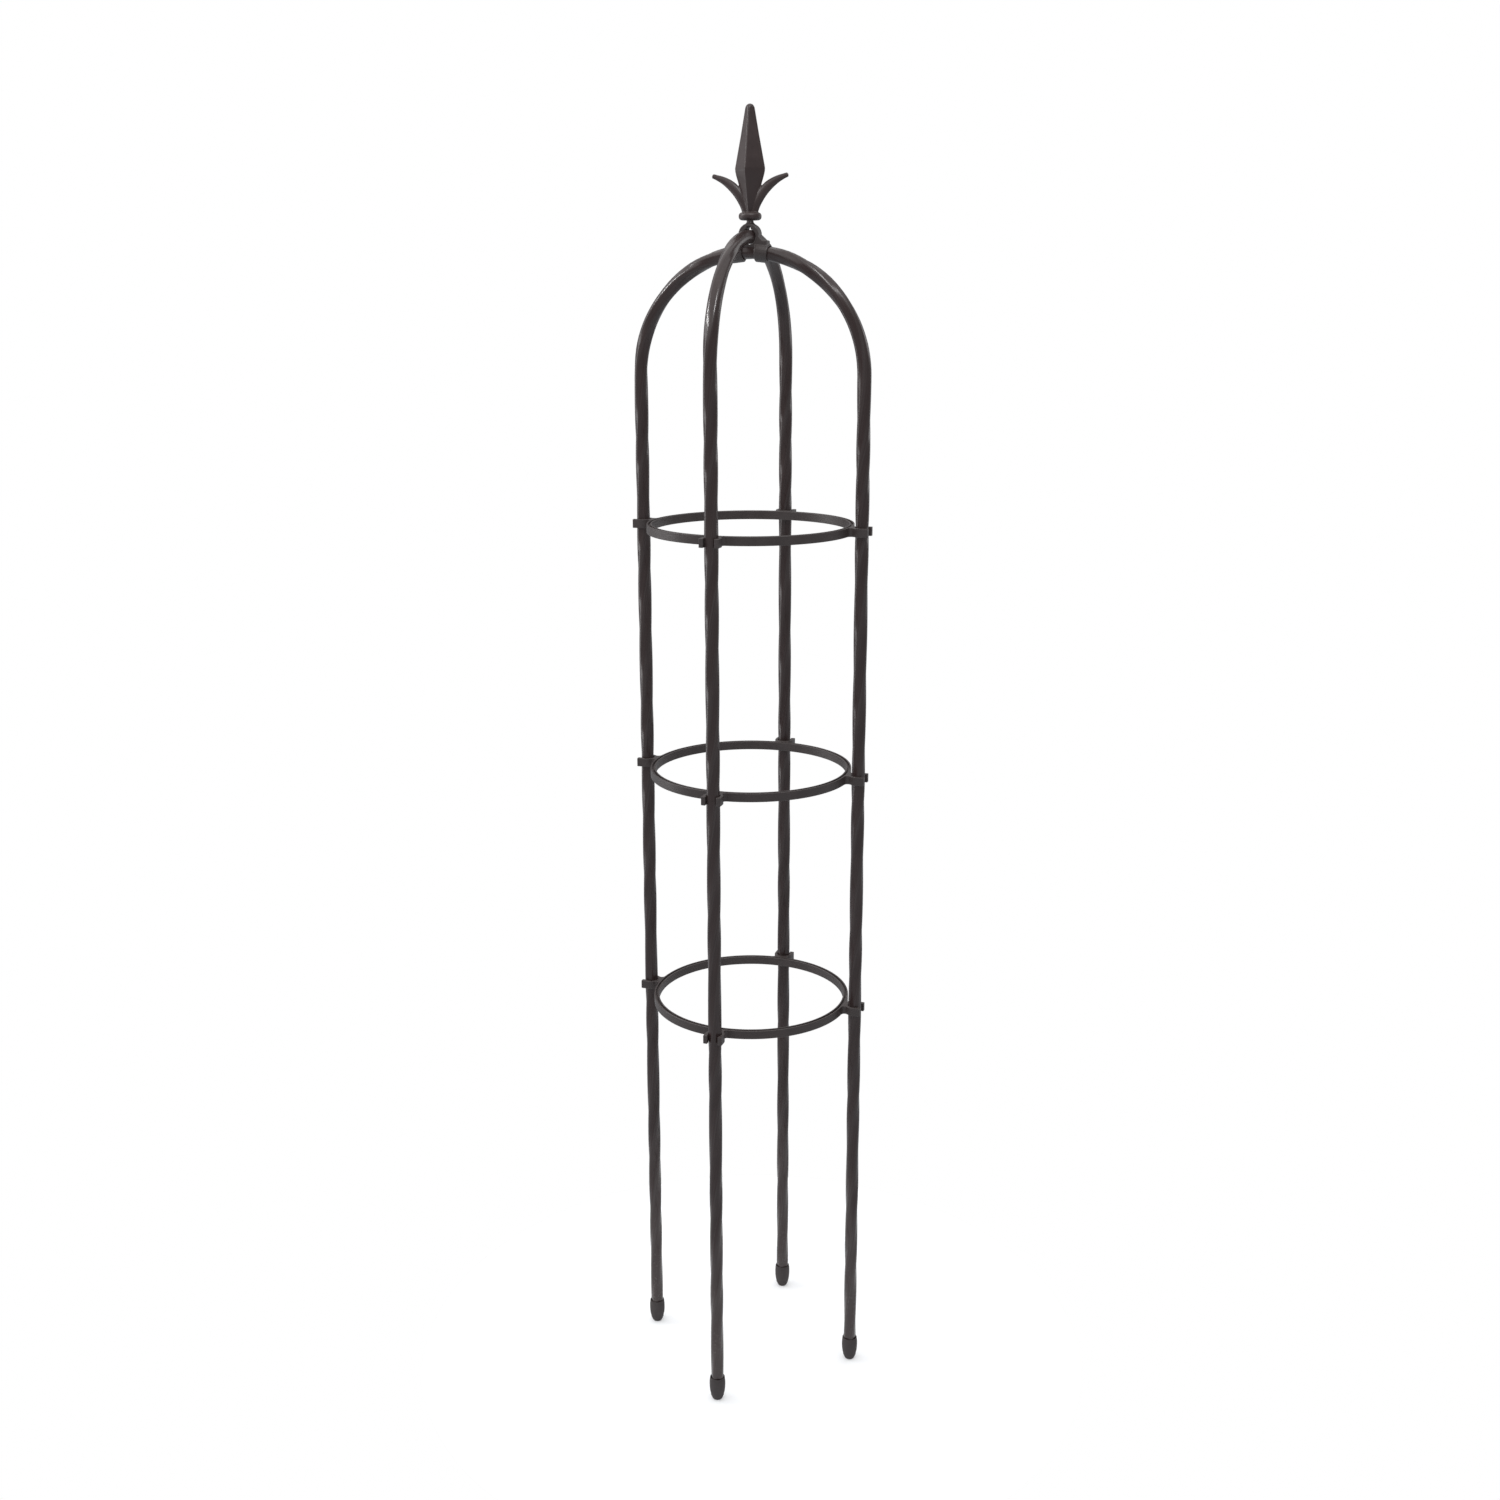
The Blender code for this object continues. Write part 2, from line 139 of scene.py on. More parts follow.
# Finishes
COAT_ROUGHNESS = 0.15
COAT_SPECULAR = 0.42
COAT_RELIEF = 0.00008
PATCH_LIFT = 1.7          # how much lighter the coating is where it lies thick
RIDGE_DEPTH = 0.00022     # how far below the corners the rubbing reaches
MOULDED_RELIEF = 0.00006
RUB_SPREAD = 0.10         # pointiness from the first to the full rubbing
ZINC_ROUGHNESS = 0.28

# Stage
FLOOR_SIDES = 128
FLOOR_LEVEL = -0.0002
CAMERA_SENSOR = 36.0
CAMERA_DISTANCE = 2.0835   # from the obelisk's axis
CAMERA_HEIGHT = 1.4024
CAMERA_AZIMUTH = 18.649    # degrees round from the front, towards the right pole
CAMERA_TURN = 0.030        # degrees left of the axis
CAMERA_DROP = 14.905       # degrees below the horizon
CAMERA_ROLL = -0.088
BOUNCE_TINT = (0.95, 1.0, 1.05)
BOUNCE_SLOPE = -0.7        # how steeply down the room reaches its full brightness
SUN_ANGLE = 120.0          # degrees, wide enough to leave no shadow but at the feet
SUN_PLACE = (-0.5, -0.3, 2.4)
# Lamps: place, what it faces, width, height
LEFT_BOX = ((-2.4, -0.15, 1.1), (0.0, 0.0, 0.85), 0.9, 2.2)
BACK_BOX = ((1.6, 2.2, 1.6), (0.0, 0.0, 0.9), 1.2, 2.0)
LEFT_STRIP = ((-1.7, -0.72, 2.36), (0.0, 0.0, 1.4), 0.14, 0.5)
RIGHT_STRIP = ((0.75, -1.2, 2.9), (0.0, 0.0, 1.4), 0.14, 0.5)


# Settings


def length(name, description, default):
    return FloatProperty(
        name=name, description=description, default=default, min=0.0, unit="LENGTH", precision=5
    )


def colour(name, description, default):
    return FloatVectorProperty(
        name=name, description=description, default=default, size=3, subtype="COLOR", min=0.0, max=1.0
    )


def amount(name, description, default):
    return FloatProperty(name=name, description=description, default=default, min=0.0)


class TubeSettings(bpy.types.PropertyGroup):
    """Sizes of the twisted coated tubes"""

    across_flats: length("Across flats", "Soft square section, flat to flat", 0.0153)
    across_corners: length("Across corners", "Soft square section over its corners", 0.0168)
    wall: length("Wall", "Thickness of steel and coating", 0.0006)
    twist_length: length("Twist length", "Length of tube in one full turn of the twist", 0.328)
    ring_step: length("Ring step", "Spacing of the rings of points along a tube", 0.007)
    wander: FloatProperty(
        name="Wander",
        description="How far the twist strays from an even turn",
        default=math.radians(24.0),
        subtype="ANGLE",
    )
    seed: IntProperty(name="Seed", description="Start value of the wander", default=5, min=0)


class RingSettings(bpy.types.PropertyGroup):
    """Sizes of the three rings and their forks"""

    outer_radius: length("Outer radius", "Outer radius of the band", 0.1272)
    thickness: length("Thickness", "Thickness of the band, inside to outside", 0.0065)
    height: length("Height", "Height of the band and the forks", RING_HIGH.z - RING_LOW.z)
    edge_round: length("Edge rounding", "Radius on the band's and the forks' edges", 0.0006)
    groove_width: length("Groove width", "Width of the groove in the upper face", 0.0027)
    groove_depth: length("Groove depth", "Depth of the groove in the upper face", 0.0030)
    prong_thickness: length("Prong thickness", "Thickness of a fork's prongs", 0.0036)
    prong_reach: length("Prong reach", "Obelisk's axis to the prongs' tips", RING_HIGH.x)


class BracketSettings(bpy.types.PropertyGroup):
    """Sizes of the bracket where the arches cross"""

    clip_radius: length("Clip radius", "Outer radius of the clips round the side arch", 0.0112)
    yoke_wall: length("Yoke wall", "Thickness of the yoke's limbs", 0.0040)
    yoke_depth: length("Yoke depth", "Depth of the yoke, front to back", 0.0140)
    edge_round: length("Edge rounding", "Radius on the yoke's edges", 0.0011)


class FinialSettings(bpy.types.PropertyGroup):
    """Sizes of the spear finial"""

    collar_radius: length("Collar radius", "Radius of the bead under the spear", 0.0134)
    collar_height: length("Collar height", "Height of the bead under the spear", 0.0088)
    half_width: length("Half width", "Axis to the spear's corners at the widest level", 0.0184)
    wide_level: length("Widest level", "Height of the widest level above the ground", 1.5475)


class CapSettings(bpy.types.PropertyGroup):
    """Sizes of the push-fit foot caps"""

    height: length("Height", "Height of a cap", CAP_HIGH.z)
    belly_radius: length("Belly radius", "Largest radius of the egg shape", CAP_HIGH.x - POLE_CIRCLE)
    rim_radius: length("Rim radius", "Outer radius at the open rim", 0.0096)
    face_radius: length("Face radius", "Radius of the flat foot", 0.0055)
    floor: length("Floor", "Thickness under the tube's end", 0.0050)
    sides: IntProperty(name="Sides", description="Faces round a cap", default=56, min=12)


class FinishSettings(bpy.types.PropertyGroup):
    """Colours of the finishes"""

    coat: colour("Tube coating", "Plastic coating of the tubes", (0.0245, 0.0150, 0.0144))
    coat_worn: colour("Rubbed coating", "Coating along the ridges of the twist", (0.060, 0.052, 0.051))
    moulding: colour("Moulded plastic", "Rings and crown bracket", (0.033, 0.0255, 0.0248))
    finial: colour("Finial", "Moulded plastic of the finial", (0.030, 0.0190, 0.0185))
    moulding_worn: colour("Rubbed plastic", "Edges of the mouldings", (0.075, 0.070, 0.068))
    rubber: colour("Cap", "Soft plastic of the foot caps", (0.032, 0.027, 0.028))
    dust: colour("Dust", "Thin film of garden dust", (0.110, 0.100, 0.090))
    zinc: colour("Zinc", "Plated steel of the joint sleeves", (0.52, 0.53, 0.55))


class StageSettings(bpy.types.PropertyGroup):
    """Floor, light and camera"""

    floor_radius: length("Floor radius", "Radius of the round pale floor", 0.45)
    floor: colour("Floor", "Colour of the floor", (0.86, 0.87, 0.88))
    daylight: amount("Daylight", "Strength of the wide overhead light", 2.25)
    side_box: amount("Side box", "Watts of the tall soft box on the left", 15.0)
    strips: amount("Strips", "Watts of each of the two small strip lights", 15.0)
    back_box: amount("Back box", "Watts of the soft box behind on the right", 8.0)
    bounce: amount("Bounce", "Brightness of the room below the horizon", 0.72)
    surround: amount("Surround", "Brightness of the room around the stage", 0.35)
    lens: FloatProperty(name="Lens", description="Focal length in millimetres", default=40.85, min=1.0)


class ObeliskSettings(bpy.types.PropertyGroup):
    """All sizes and colours of the obelisk"""

    tube: PointerProperty(type=TubeSettings)
    ring: PointerProperty(type=RingSettings)
    bracket: PointerProperty(type=BracketSettings)
    finial: PointerProperty(type=FinialSettings)
    cap: PointerProperty(type=CapSettings)
    finish: PointerProperty(type=FinishSettings)
    stage: PointerProperty(type=StageSettings)


# Meshes


def add_object(name, data):
    thing = bpy.data.objects.new(name, data)
    bpy.context.scene.collection.objects.link(thing)
    return thing


def mesh_from(name, build):
    """Run build on a new bmesh and return the result as a mesh."""
    shape = bmesh.new()
    build(shape)
    mesh = bpy.data.meshes.new(name)
    shape.to_mesh(mesh)
    shape.free()
    return mesh


def evaluated_mesh(thing):
    """The object's mesh with its modifiers applied. The object itself is removed."""
    bpy.context.view_layer.update()
    evaluated = thing.evaluated_get(bpy.context.evaluated_depsgraph_get())
    mesh = bpy.data.meshes.new_from_object(evaluated)
    bpy.data.objects.remove(thing, do_unlink=True)
    return mesh


def clean(mesh, turn=None):
    """Weld the mesh, drop collapsed faces and point all faces outwards."""
    shape = bmesh.new()
    shape.from_mesh(mesh)
    if turn is not None:
        shape.transform(turn)
    bmesh.ops.remove_doubles(shape, verts=shape.verts, dist=1e-6)
    bmesh.ops.dissolve_degenerate(shape, edges=shape.edges, dist=1e-6)
    bmesh.ops.recalc_face_normals(shape, faces=shape.faces)
    shape.to_mesh(mesh)
    shape.free()
    return mesh


def shade(mesh, angle):
    mesh.shade_smooth()
    mesh.set_sharp_from_angle(angle=math.radians(angle))
    return mesh


def with_flat_faces_kept(name, mesh):
    """Weight the normals by face area, so that broad faces shade flat up to their rounded edges."""
    thing = add_object(name, mesh)
    step = thing.modifiers.new("weighted normals", "WEIGHTED_NORMAL")
    step.keep_sharp = True
    step.weight = 60
    result = evaluated_mesh(thing)
    result.name = name
    return result


def finish_piece(name, mesh, material, slot, *nodes):
    """Make the mesh a piece of the obelisk that stands for the named CAD nodes."""
    mesh.name = name
    if material is not None:
        mesh.materials.clear()
        mesh.materials.append(material)
    piece = add_object(name, mesh)
    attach(piece, BODY)
    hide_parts(*nodes)
    return piece


def arc(centre, radius, start, end, steps):
    """Points from start to end, in degrees, on a circle in the plane."""
    points = []
    for step in range(steps + 1):
        angle = math.radians(start + (end - start) * step / steps)
        points.append((centre[0] + radius * math.cos(angle), centre[1] + radius * math.sin(angle)))
    return points


def softened(corners, steps=4):
    """Round a closed outline. Each corner is (x, y, radius), and a radius of 0 leaves it alone."""
    outline = []
    for place, (x, y, radius) in enumerate(corners):
        corner = Vector((x, y))
        if radius == 0.0:
            outline.append((x, y))
            continue
        before = (Vector(corners[place - 1][:2]) - corner).normalized()
        after = (Vector(corners[(place + 1) % len(corners)][:2]) - corner).normalized()
        half = before.angle(after) / 2.0
        centre = corner + (before + after).normalized() * (radius / math.sin(half))
        start = corner + before * (radius / math.tan(half)) - centre
        end = corner + after * (radius / math.tan(half)) - centre
        sweep = -start.angle_signed(end)
        for step in range(steps + 1):
            spoke = Matrix.Rotation(sweep * step / steps, 2) @ start
            outline.append(tuple(centre + spoke))
    return outline


def plain(points):
    return [(x, y, 0.0) for x, y in points]


def slab(name, outline, thickness, edge_round):
    """A flat closed shape with rounded edges, drawn in X-Y and centred on Z."""
    curve = bpy.data.curves.new(name, "CURVE")
    curve.dimensions = "2D"
    curve.fill_mode = "BOTH"
    curve.extrude = thickness / 2.0 - edge_round
    curve.bevel_depth = edge_round
    curve.bevel_resolution = 2
    curve.offset = -edge_round
    spline = curve.splines.new("POLY")
    spline.use_cyclic_u = True
    spline.points.add(len(outline) - 1)
    for place, (x, y) in enumerate(outline):
        spline.points[place].co = (x, y, 0.0, 1.0)
    return clean(evaluated_mesh(add_object(name, curve)))


def bar(name, points, radii):
    """A closed round bar along the points."""
    curve = bpy.data.curves.new(name, "CURVE")
    curve.dimensions = "3D"
    curve.bevel_depth = 1.0
    curve.bevel_resolution = 8
    curve.use_fill_caps = True
    spline = curve.splines.new("POLY")
    spline.points.add(len(points) - 1)
    for place, point in enumerate(points):
        spline.points[place].co = (*point, 1.0)
        spline.points[place].radius = radii[place]
    return clean(evaluated_mesh(add_object(name, curve)))


def turned(name, profile, sides):
    """Turn a closed (radius, height) profile about the Z axis. It starts and ends on the axis."""
    def build(shape):
        rows = []
        for radius, height in profile:
            if radius == 0.0:
                rows.append([shape.verts.new((0.0, 0.0, height))] * sides)
                continue
            row = []
            for side in range(sides):
                angle = math.tau * side / sides
                row.append(shape.verts.new((radius * math.cos(angle), radius * math.sin(angle), height)))
            rows.append(row)
        join_rows(shape, rows, sides)
    return clean(mesh_from(name, build))


def join_rows(shape, rows, sides):
    """Skin the rows of vertices. A row of one repeated vertex is a pole."""
    for low, high in zip(rows, rows[1:]):
        for side in range(sides):
            corners = []
            for vertex in (low[side - 1], low[side], high[side], high[side - 1]):
                if vertex not in corners:
                    corners.append(vertex)
            if len(corners) > 2:
                shape.faces.new(corners)


def combined(name, mesh, steps):
    """Apply boolean steps, each (operation, other mesh), with the exact solver."""
    thing = add_object(name, mesh)
    others = []
    for operation, other_mesh in steps:
        other = add_object(f"{name} {operation.lower()}", other_mesh)
        others.append(other)
        step = thing.modifiers.new(operation.lower(), "BOOLEAN")
        step.object = other
        step.operation = operation
        step.solver = "EXACT"
    mesh = evaluated_mesh(thing)
    for other in others:
        bpy.data.objects.remove(other, do_unlink=True)
    return clean(mesh)


def blended(name, mesh):
    """Remesh a moulding finely and relax it, so that its parts run into each other."""
    thing = add_object(name, mesh)
    step = thing.modifiers.new("blend", "REMESH")
    step.mode = "VOXEL"
    step.voxel_size = BLEND_VOXEL
    relax = thing.modifiers.new("relax", "SMOOTH")
    relax.factor = 0.5
    relax.iterations = BLEND_STEPS
    result = clean(evaluated_mesh(thing))
    result.shade_smooth()
    return result


# Node trees


def feed(tree, socket, value):
    if isinstance(value, bpy.types.NodeSocket):
        tree.links.new(value, socket)
    else:
        socket.default_value = value


def add_node(tree, kind, inputs=None, **settings):
    """Add a node, set its own settings, then feed its inputs with values or outputs."""
    made = tree.nodes.new(kind)
    for name, value in settings.items():
        setattr(made, name, value)
    for name, value in (inputs or {}).items():
        feed(tree, made.inputs[name], value)
    return made


def maths(tree, operation, first, second=0.0, clamp=False):
    inputs = {0: first, 1: second}
    made = add_node(tree, "ShaderNodeMath", inputs, operation=operation, use_clamp=clamp)
    return made.outputs[0]


def new_tree(name, kind, inputs, outputs):
    """A node tree with named sockets: (name, socket type) or (name, socket type, default)."""
    tree = bpy.data.node_groups.new(name, kind)
    for direction, sockets in (("INPUT", inputs), ("OUTPUT", outputs)):
        for label, socket_type, *default in sockets:
            socket = tree.interface.new_socket(label, in_out=direction, socket_type=socket_type)
            if default:
                socket.default_value = default[0]
    return tree, tree.nodes.new("NodeGroupInput").outputs, tree.nodes.new("NodeGroupOutput").inputs


def set_inputs(thing, tree, values):
    """Add the tree to the object and set its inputs by their sockets' identifiers."""
    step = thing.modifiers.new(tree.name, "NODES")
    step.node_group = tree
    for item in tree.interface.items_tree:
        if item.item_type == "SOCKET" and item.name in values:
            step[item.identifier] = values[item.name]


def line_mesh(name, points, closed=False):
    edges = [(place, place + 1) for place in range(len(points) - 1)]
    if closed:
        edges.append((len(points) - 1, 0))
    mesh = bpy.data.meshes.new(name)
    mesh.from_pydata(points, edges, [])
    return mesh


def twisted_tube_tree():
    """A soft square tube along a line, turning slowly and a little unevenly as it goes."""
    tree, given, result = new_tree("Twisted tube", "GeometryNodeTree", [
        ("Centre line", "NodeSocketGeometry"),
        ("Across flats", "NodeSocketFloat"),
        ("Corner radius", "NodeSocketFloat"),
        ("Twist length", "NodeSocketFloat"),
        ("Ring step", "NodeSocketFloat"),
        ("Run start", "NodeSocketFloat"),
        ("Phase", "NodeSocketFloat"),
        ("Wander", "NodeSocketFloat"),
        ("Seed", "NodeSocketInt"),
        ("Material", "NodeSocketMaterial"),
    ], [("Tube", "NodeSocketGeometry")])
    line = add_node(tree, "GeometryNodeMeshToCurve", {"Mesh": given["Centre line"]})
    even = add_node(tree, "GeometryNodeResampleCurve",
                    {"Curve": line.outputs[0], "Length": given["Ring step"]}, mode="LENGTH")
    spline = add_node(tree, "GeometryNodeSplineParameter")
    run = maths(tree, "ADD", spline.outputs["Length"], given["Run start"])
    kept_run = tree.nodes.new("GeometryNodeCaptureAttribute")
    kept_run.capture_items.new("FLOAT", "Run")
    feed(tree, kept_run.inputs["Geometry"], even.outputs[0])
    feed(tree, kept_run.inputs["Run"], run)

    stray_place = maths(tree, "ADD", maths(tree, "DIVIDE", run, WANDER_SPAN), given["Seed"])
    stray = add_node(tree, "ShaderNodeTexNoise",
                     {"W": stray_place, "Scale": 1.0, "Detail": 1.0}, noise_dimensions="1D")
    # Centred on zero, and widened because the noise seldom comes near its limits
    centred = maths(tree, "SUBTRACT", stray.outputs["Fac"], 0.5)
    wander = maths(tree, "MULTIPLY", centred, maths(tree, "MULTIPLY", given["Wander"], 4.0))
    turns = maths(tree, "DIVIDE", run, given["Twist length"])
    even_turn = maths(tree, "MULTIPLY", turns, math.tau)
    tilt = maths(tree, "ADD", maths(tree, "ADD", even_turn, given["Phase"]), wander)
    twisted = add_node(tree, "GeometryNodeSetCurveTilt",
                       {"Curve": kept_run.outputs["Geometry"], "Tilt": tilt})

    square = add_node(tree, "GeometryNodeCurvePrimitiveQuadrilateral",
                      {"Width": given["Across flats"], "Height": given["Across flats"]})
    soft = add_node(tree, "GeometryNodeFilletCurve",
                    {"Curve": square.outputs[0], "Count": CORNER_STEPS, "Radius": given["Corner radius"]},
                    mode="POLY")
    kept_place = tree.nodes.new("GeometryNodeCaptureAttribute")
    kept_place.capture_items.new("VECTOR", "Around")
    feed(tree, kept_place.inputs["Geometry"], soft.outputs[0])
    feed(tree, kept_place.inputs["Around"], add_node(tree, "GeometryNodeInputPosition").outputs[0])

    skin = add_node(tree, "GeometryNodeCurveToMesh",
                    {"Curve": twisted.outputs[0], "Profile Curve": kept_place.outputs["Geometry"]})
    around = add_node(tree, "ShaderNodeSeparateXYZ", {"Vector": kept_place.outputs["Around"]})
    straight = add_node(tree, "ShaderNodeCombineXYZ", {
        "X": around.outputs["X"], "Y": around.outputs["Y"], "Z": kept_run.outputs["Run"]})
    noted = add_node(tree, "GeometryNodeStoreNamedAttribute", {"Geometry": skin.outputs[0]},
                     data_type="FLOAT_VECTOR", domain="POINT")
    feed(tree, noted.inputs["Name"], RUN_ATTRIBUTE)
    feed(tree, noted.inputs["Value"], straight.outputs[0])
    smooth = add_node(tree, "GeometryNodeSetShadeSmooth", {"Geometry": noted.outputs[0]})
    real = add_node(tree, "GeometryNodeRealizeInstances", {"Geometry": smooth.outputs[0]})
    dressed = add_node(tree, "GeometryNodeSetMaterial",
                       {"Geometry": real.outputs[0], "Material": given["Material"]})
    feed(tree, result["Tube"], dressed.outputs[0])
    return tree


def clip_ring_tree():
    """A grooved band along a circle, with the same fork repeated evenly round it."""
    tree, given, result = new_tree("Clip ring", "GeometryNodeTree", [
        ("Fork", "NodeSocketGeometry"),
        ("Section", "NodeSocketObject"),
        ("Band radius", "NodeSocketFloat"),
        ("Sides", "NodeSocketInt"),
        ("Forks", "NodeSocketInt"),
        ("Level", "NodeSocketFloat"),
        ("Material", "NodeSocketMaterial"),
    ], [("Ring", "NodeSocketGeometry")])
    circle = add_node(tree, "GeometryNodeCurvePrimitiveCircle",
                      {"Resolution": given["Sides"], "Radius": given["Band radius"]})
    upright = add_node(tree, "GeometryNodeSetCurveNormal", {"Curve": circle.outputs["Curve"]}, mode="Z_UP")
    drawn = add_node(tree, "GeometryNodeObjectInfo", {"Object": given["Section"]})
    section = add_node(tree, "GeometryNodeMeshToCurve", {"Mesh": drawn.outputs["Geometry"]})
    band = add_node(tree, "GeometryNodeCurveToMesh",
                    {"Curve": upright.outputs[0], "Profile Curve": section.outputs[0]})
    centres = add_node(tree, "GeometryNodePoints", {"Count": given["Forks"]})
    share = maths(tree, "DIVIDE", add_node(tree, "GeometryNodeInputIndex").outputs[0], given["Forks"])
    heading = add_node(tree, "ShaderNodeCombineXYZ", {"Z": maths(tree, "MULTIPLY", share, math.tau)})
    forks = add_node(tree, "GeometryNodeInstanceOnPoints", {
        "Points": centres.outputs[0], "Instance": given["Fork"], "Rotation": heading.outputs[0]})
    real = add_node(tree, "GeometryNodeRealizeInstances", {"Geometry": forks.outputs[0]})
    joined = add_node(tree, "GeometryNodeMeshBoolean", operation="UNION", solver="EXACT")
    for source in (real.outputs[0], band.outputs[0]):
        tree.links.new(source, joined.inputs["Mesh 2"])
    rise = add_node(tree, "ShaderNodeCombineXYZ", {"Z": given["Level"]})
    raised = add_node(tree, "GeometryNodeTransform",
                      {"Geometry": joined.outputs["Mesh"], "Translation": rise.outputs[0]})
    whole = add_node(tree, "GeometryNodeRealizeInstances", {"Geometry": raised.outputs[0]})
    dressed = add_node(tree, "GeometryNodeSetMaterial",
                       {"Geometry": whole.outputs[0], "Material": given["Material"]})
    feed(tree, result["Ring"], dressed.outputs[0])
    return tree


# Shared shader effects


def shared(name, build):
    """The shader group of that name, built on first use."""
    return bpy.data.node_groups.get(name) or build(name)


def colour_mix(tree, share, first, second, blend="MIX"):
    made = tree.nodes.new("ShaderNodeMix")
    made.data_type = "RGBA"
    made.blend_type = blend
    feed(tree, made.inputs["Factor"], share)
    feed(tree, made.inputs[6], first)
    feed(tree, made.inputs[7], second)
    return made.outputs[2]


def ranged(tree, value, low, high, to_low=0.0, to_high=1.0):
    made = add_node(tree, "ShaderNodeMapRange", {
        "Value": value, "From Min": low, "From Max": high, "To Min": to_low, "To Max": to_high})
    return made.outputs[0]


def noise(tree, vector, scale, detail=2.0, roughness=0.5):
    made = add_node(tree, "ShaderNodeTexNoise", {
        "Vector": vector, "Scale": scale, "Detail": detail, "Roughness": roughness})
    return made.outputs["Fac"]


def streaks_group(name):
    """Fine marks drawn out along the third axis of the given coordinates."""
    tree, given, result = new_tree(name, "ShaderNodeTree", [
        ("Vector", "NodeSocketVector"),
        ("Width", "NodeSocketFloat", 0.001),
        ("Length", "NodeSocketFloat", 0.1),
    ], [("Streaks", "NodeSocketFloat"), ("Fine", "NodeSocketFloat")])
    across = maths(tree, "DIVIDE", 1.0, given["Width"])
    along = maths(tree, "DIVIDE", 1.0, given["Length"])
    stretch = add_node(tree, "ShaderNodeCombineXYZ", {"X": across, "Y": across, "Z": along})
    place = add_node(tree, "ShaderNodeVectorMath", {0: given["Vector"], 1: stretch.outputs[0]},
                     operation="MULTIPLY").outputs[0]
    feed(tree, result["Streaks"], ranged(tree, noise(tree, place, 1.0, 3.0, 0.6), 0.32, 0.70))
    feed(tree, result["Fine"], noise(tree, place, 3.2, 2.0, 0.65))
    return tree


def grain_group(name):
    """Fine moulded grain, with slow patches where the plastic flowed differently."""
    tree, given, result = new_tree(name, "ShaderNodeTree", [
        ("Vector", "NodeSocketVector"),
        ("Grain", "NodeSocketFloat", 0.0004),
        ("Patch", "NodeSocketFloat", 0.02),
    ], [("Height", "NodeSocketFloat"), ("Patches", "NodeSocketFloat")])
    fine = noise(tree, given["Vector"], maths(tree, "DIVIDE", 1.0, given["Grain"]), 2.0, 0.6)
    pitted = add_node(tree, "ShaderNodeTexVoronoi", {
        "Vector": given["Vector"], "Scale": maths(tree, "DIVIDE", 0.45, given["Grain"])})
    height = maths(tree, "ADD", fine, maths(tree, "MULTIPLY", pitted.outputs["Distance"], 0.4))
    feed(tree, result["Height"], height)
    slow = noise(tree, given["Vector"], maths(tree, "DIVIDE", 1.0, given["Patch"]), 3.0, 0.55)
    feed(tree, result["Patches"], ranged(tree, slow, 0.34, 0.68))
    return tree


def rub_group(name):
    """Where outer edges are rubbed lighter, broken up so that no edge is evenly worn."""
    tree, given, result = new_tree(name, "ShaderNodeTree", [
        ("Vector", "NodeSocketVector"),
        ("Start", "NodeSocketFloat", 0.52),
        ("Full", "NodeSocketFloat", 0.62),
        ("Break up", "NodeSocketFloat", 0.006),
    ], [("Rub", "NodeSocketFloat")])
    shape = add_node(tree, "ShaderNodeNewGeometry")
    edge = ranged(tree, shape.outputs["Pointiness"], given["Start"], given["Full"])
    broken = noise(tree, given["Vector"], maths(tree, "DIVIDE", 1.0, given["Break up"]), 4.0, 0.6)
    feed(tree, result["Rub"], maths(tree, "MULTIPLY", edge, ranged(tree, broken, 0.38, 0.72)))
    return tree


def dust_group(name):
    """A thin uneven film on what faces up, and splashes near the ground."""
    tree, given, result = new_tree(name, "ShaderNodeTree", [
        ("Vector", "NodeSocketVector"),
        ("Splash height", "NodeSocketFloat", 0.16),
    ], [("Film", "NodeSocketFloat")])
    facing = add_node(tree, "ShaderNodeSeparateXYZ",
                      {"Vector": add_node(tree, "ShaderNodeNewGeometry").outputs["Normal"]})
    upward = ranged(tree, facing.outputs["Z"], 0.25, 1.0, 0.0, 0.55)
    height = add_node(tree, "ShaderNodeSeparateXYZ", {"Vector": given["Vector"]}).outputs["Z"]
    low = ranged(tree, height, given["Splash height"], 0.0, 0.0, 0.6)
    speckle = ranged(tree, noise(tree, given["Vector"], 240.0, 5.0, 0.7), 0.46, 0.66)
    cloud = ranged(tree, noise(tree, given["Vector"], 38.0, 3.0, 0.6), 0.35, 0.70)
    film = maths(tree, "MULTIPLY", maths(tree, "ADD", upward, low),
                 maths(tree, "MULTIPLY", maths(tree, "ADD", speckle, 0.35), cloud), True)
    feed(tree, result["Film"], film)
    return tree


def use_group(tree, name, build, inputs):
    made = tree.nodes.new("ShaderNodeGroup")
    made.node_tree = shared(name, build)
    for label, value in inputs.items():
        feed(tree, made.inputs[label], value)
    return made.outputs


# Finishes


def new_finish(name):
    """A node material, with its tree and its Principled shader."""
    material = bpy.data.materials.new(name)
    material.use_nodes = True
    tree = material.node_tree
    return material, tree, tree.nodes["Principled BSDF"]


def bumped(tree, shader, height, distance, strength):
    bump = add_node(tree, "ShaderNodeBump", {"Height": height, "Distance": distance, "Strength": strength})
    feed(tree, shader.inputs["Normal"], bump.outputs[0])


def rgba(value):
    return (*value, 1.0)


def scaled(colour_value, factor):
    return rgba([factor * part for part in colour_value])


def layered(tree, tone, *layers):
    """Lay colours over a tone. Each layer is (mask, share, colour)."""
    for mask, share, over in layers:
        tone = colour_mix(tree, maths(tree, "MULTIPLY", mask, share), tone, over)
    return tone


def weighted(tree, *terms):
    """The sum of masks, each term (mask, weight)."""
    total = 0.0
    for mask, weight in terms:
        total = maths(tree, "ADD", total, maths(tree, "MULTIPLY", mask, weight))
    return total


def object_place(tree):
    return add_node(tree, "ShaderNodeTexCoord").outputs["Object"]


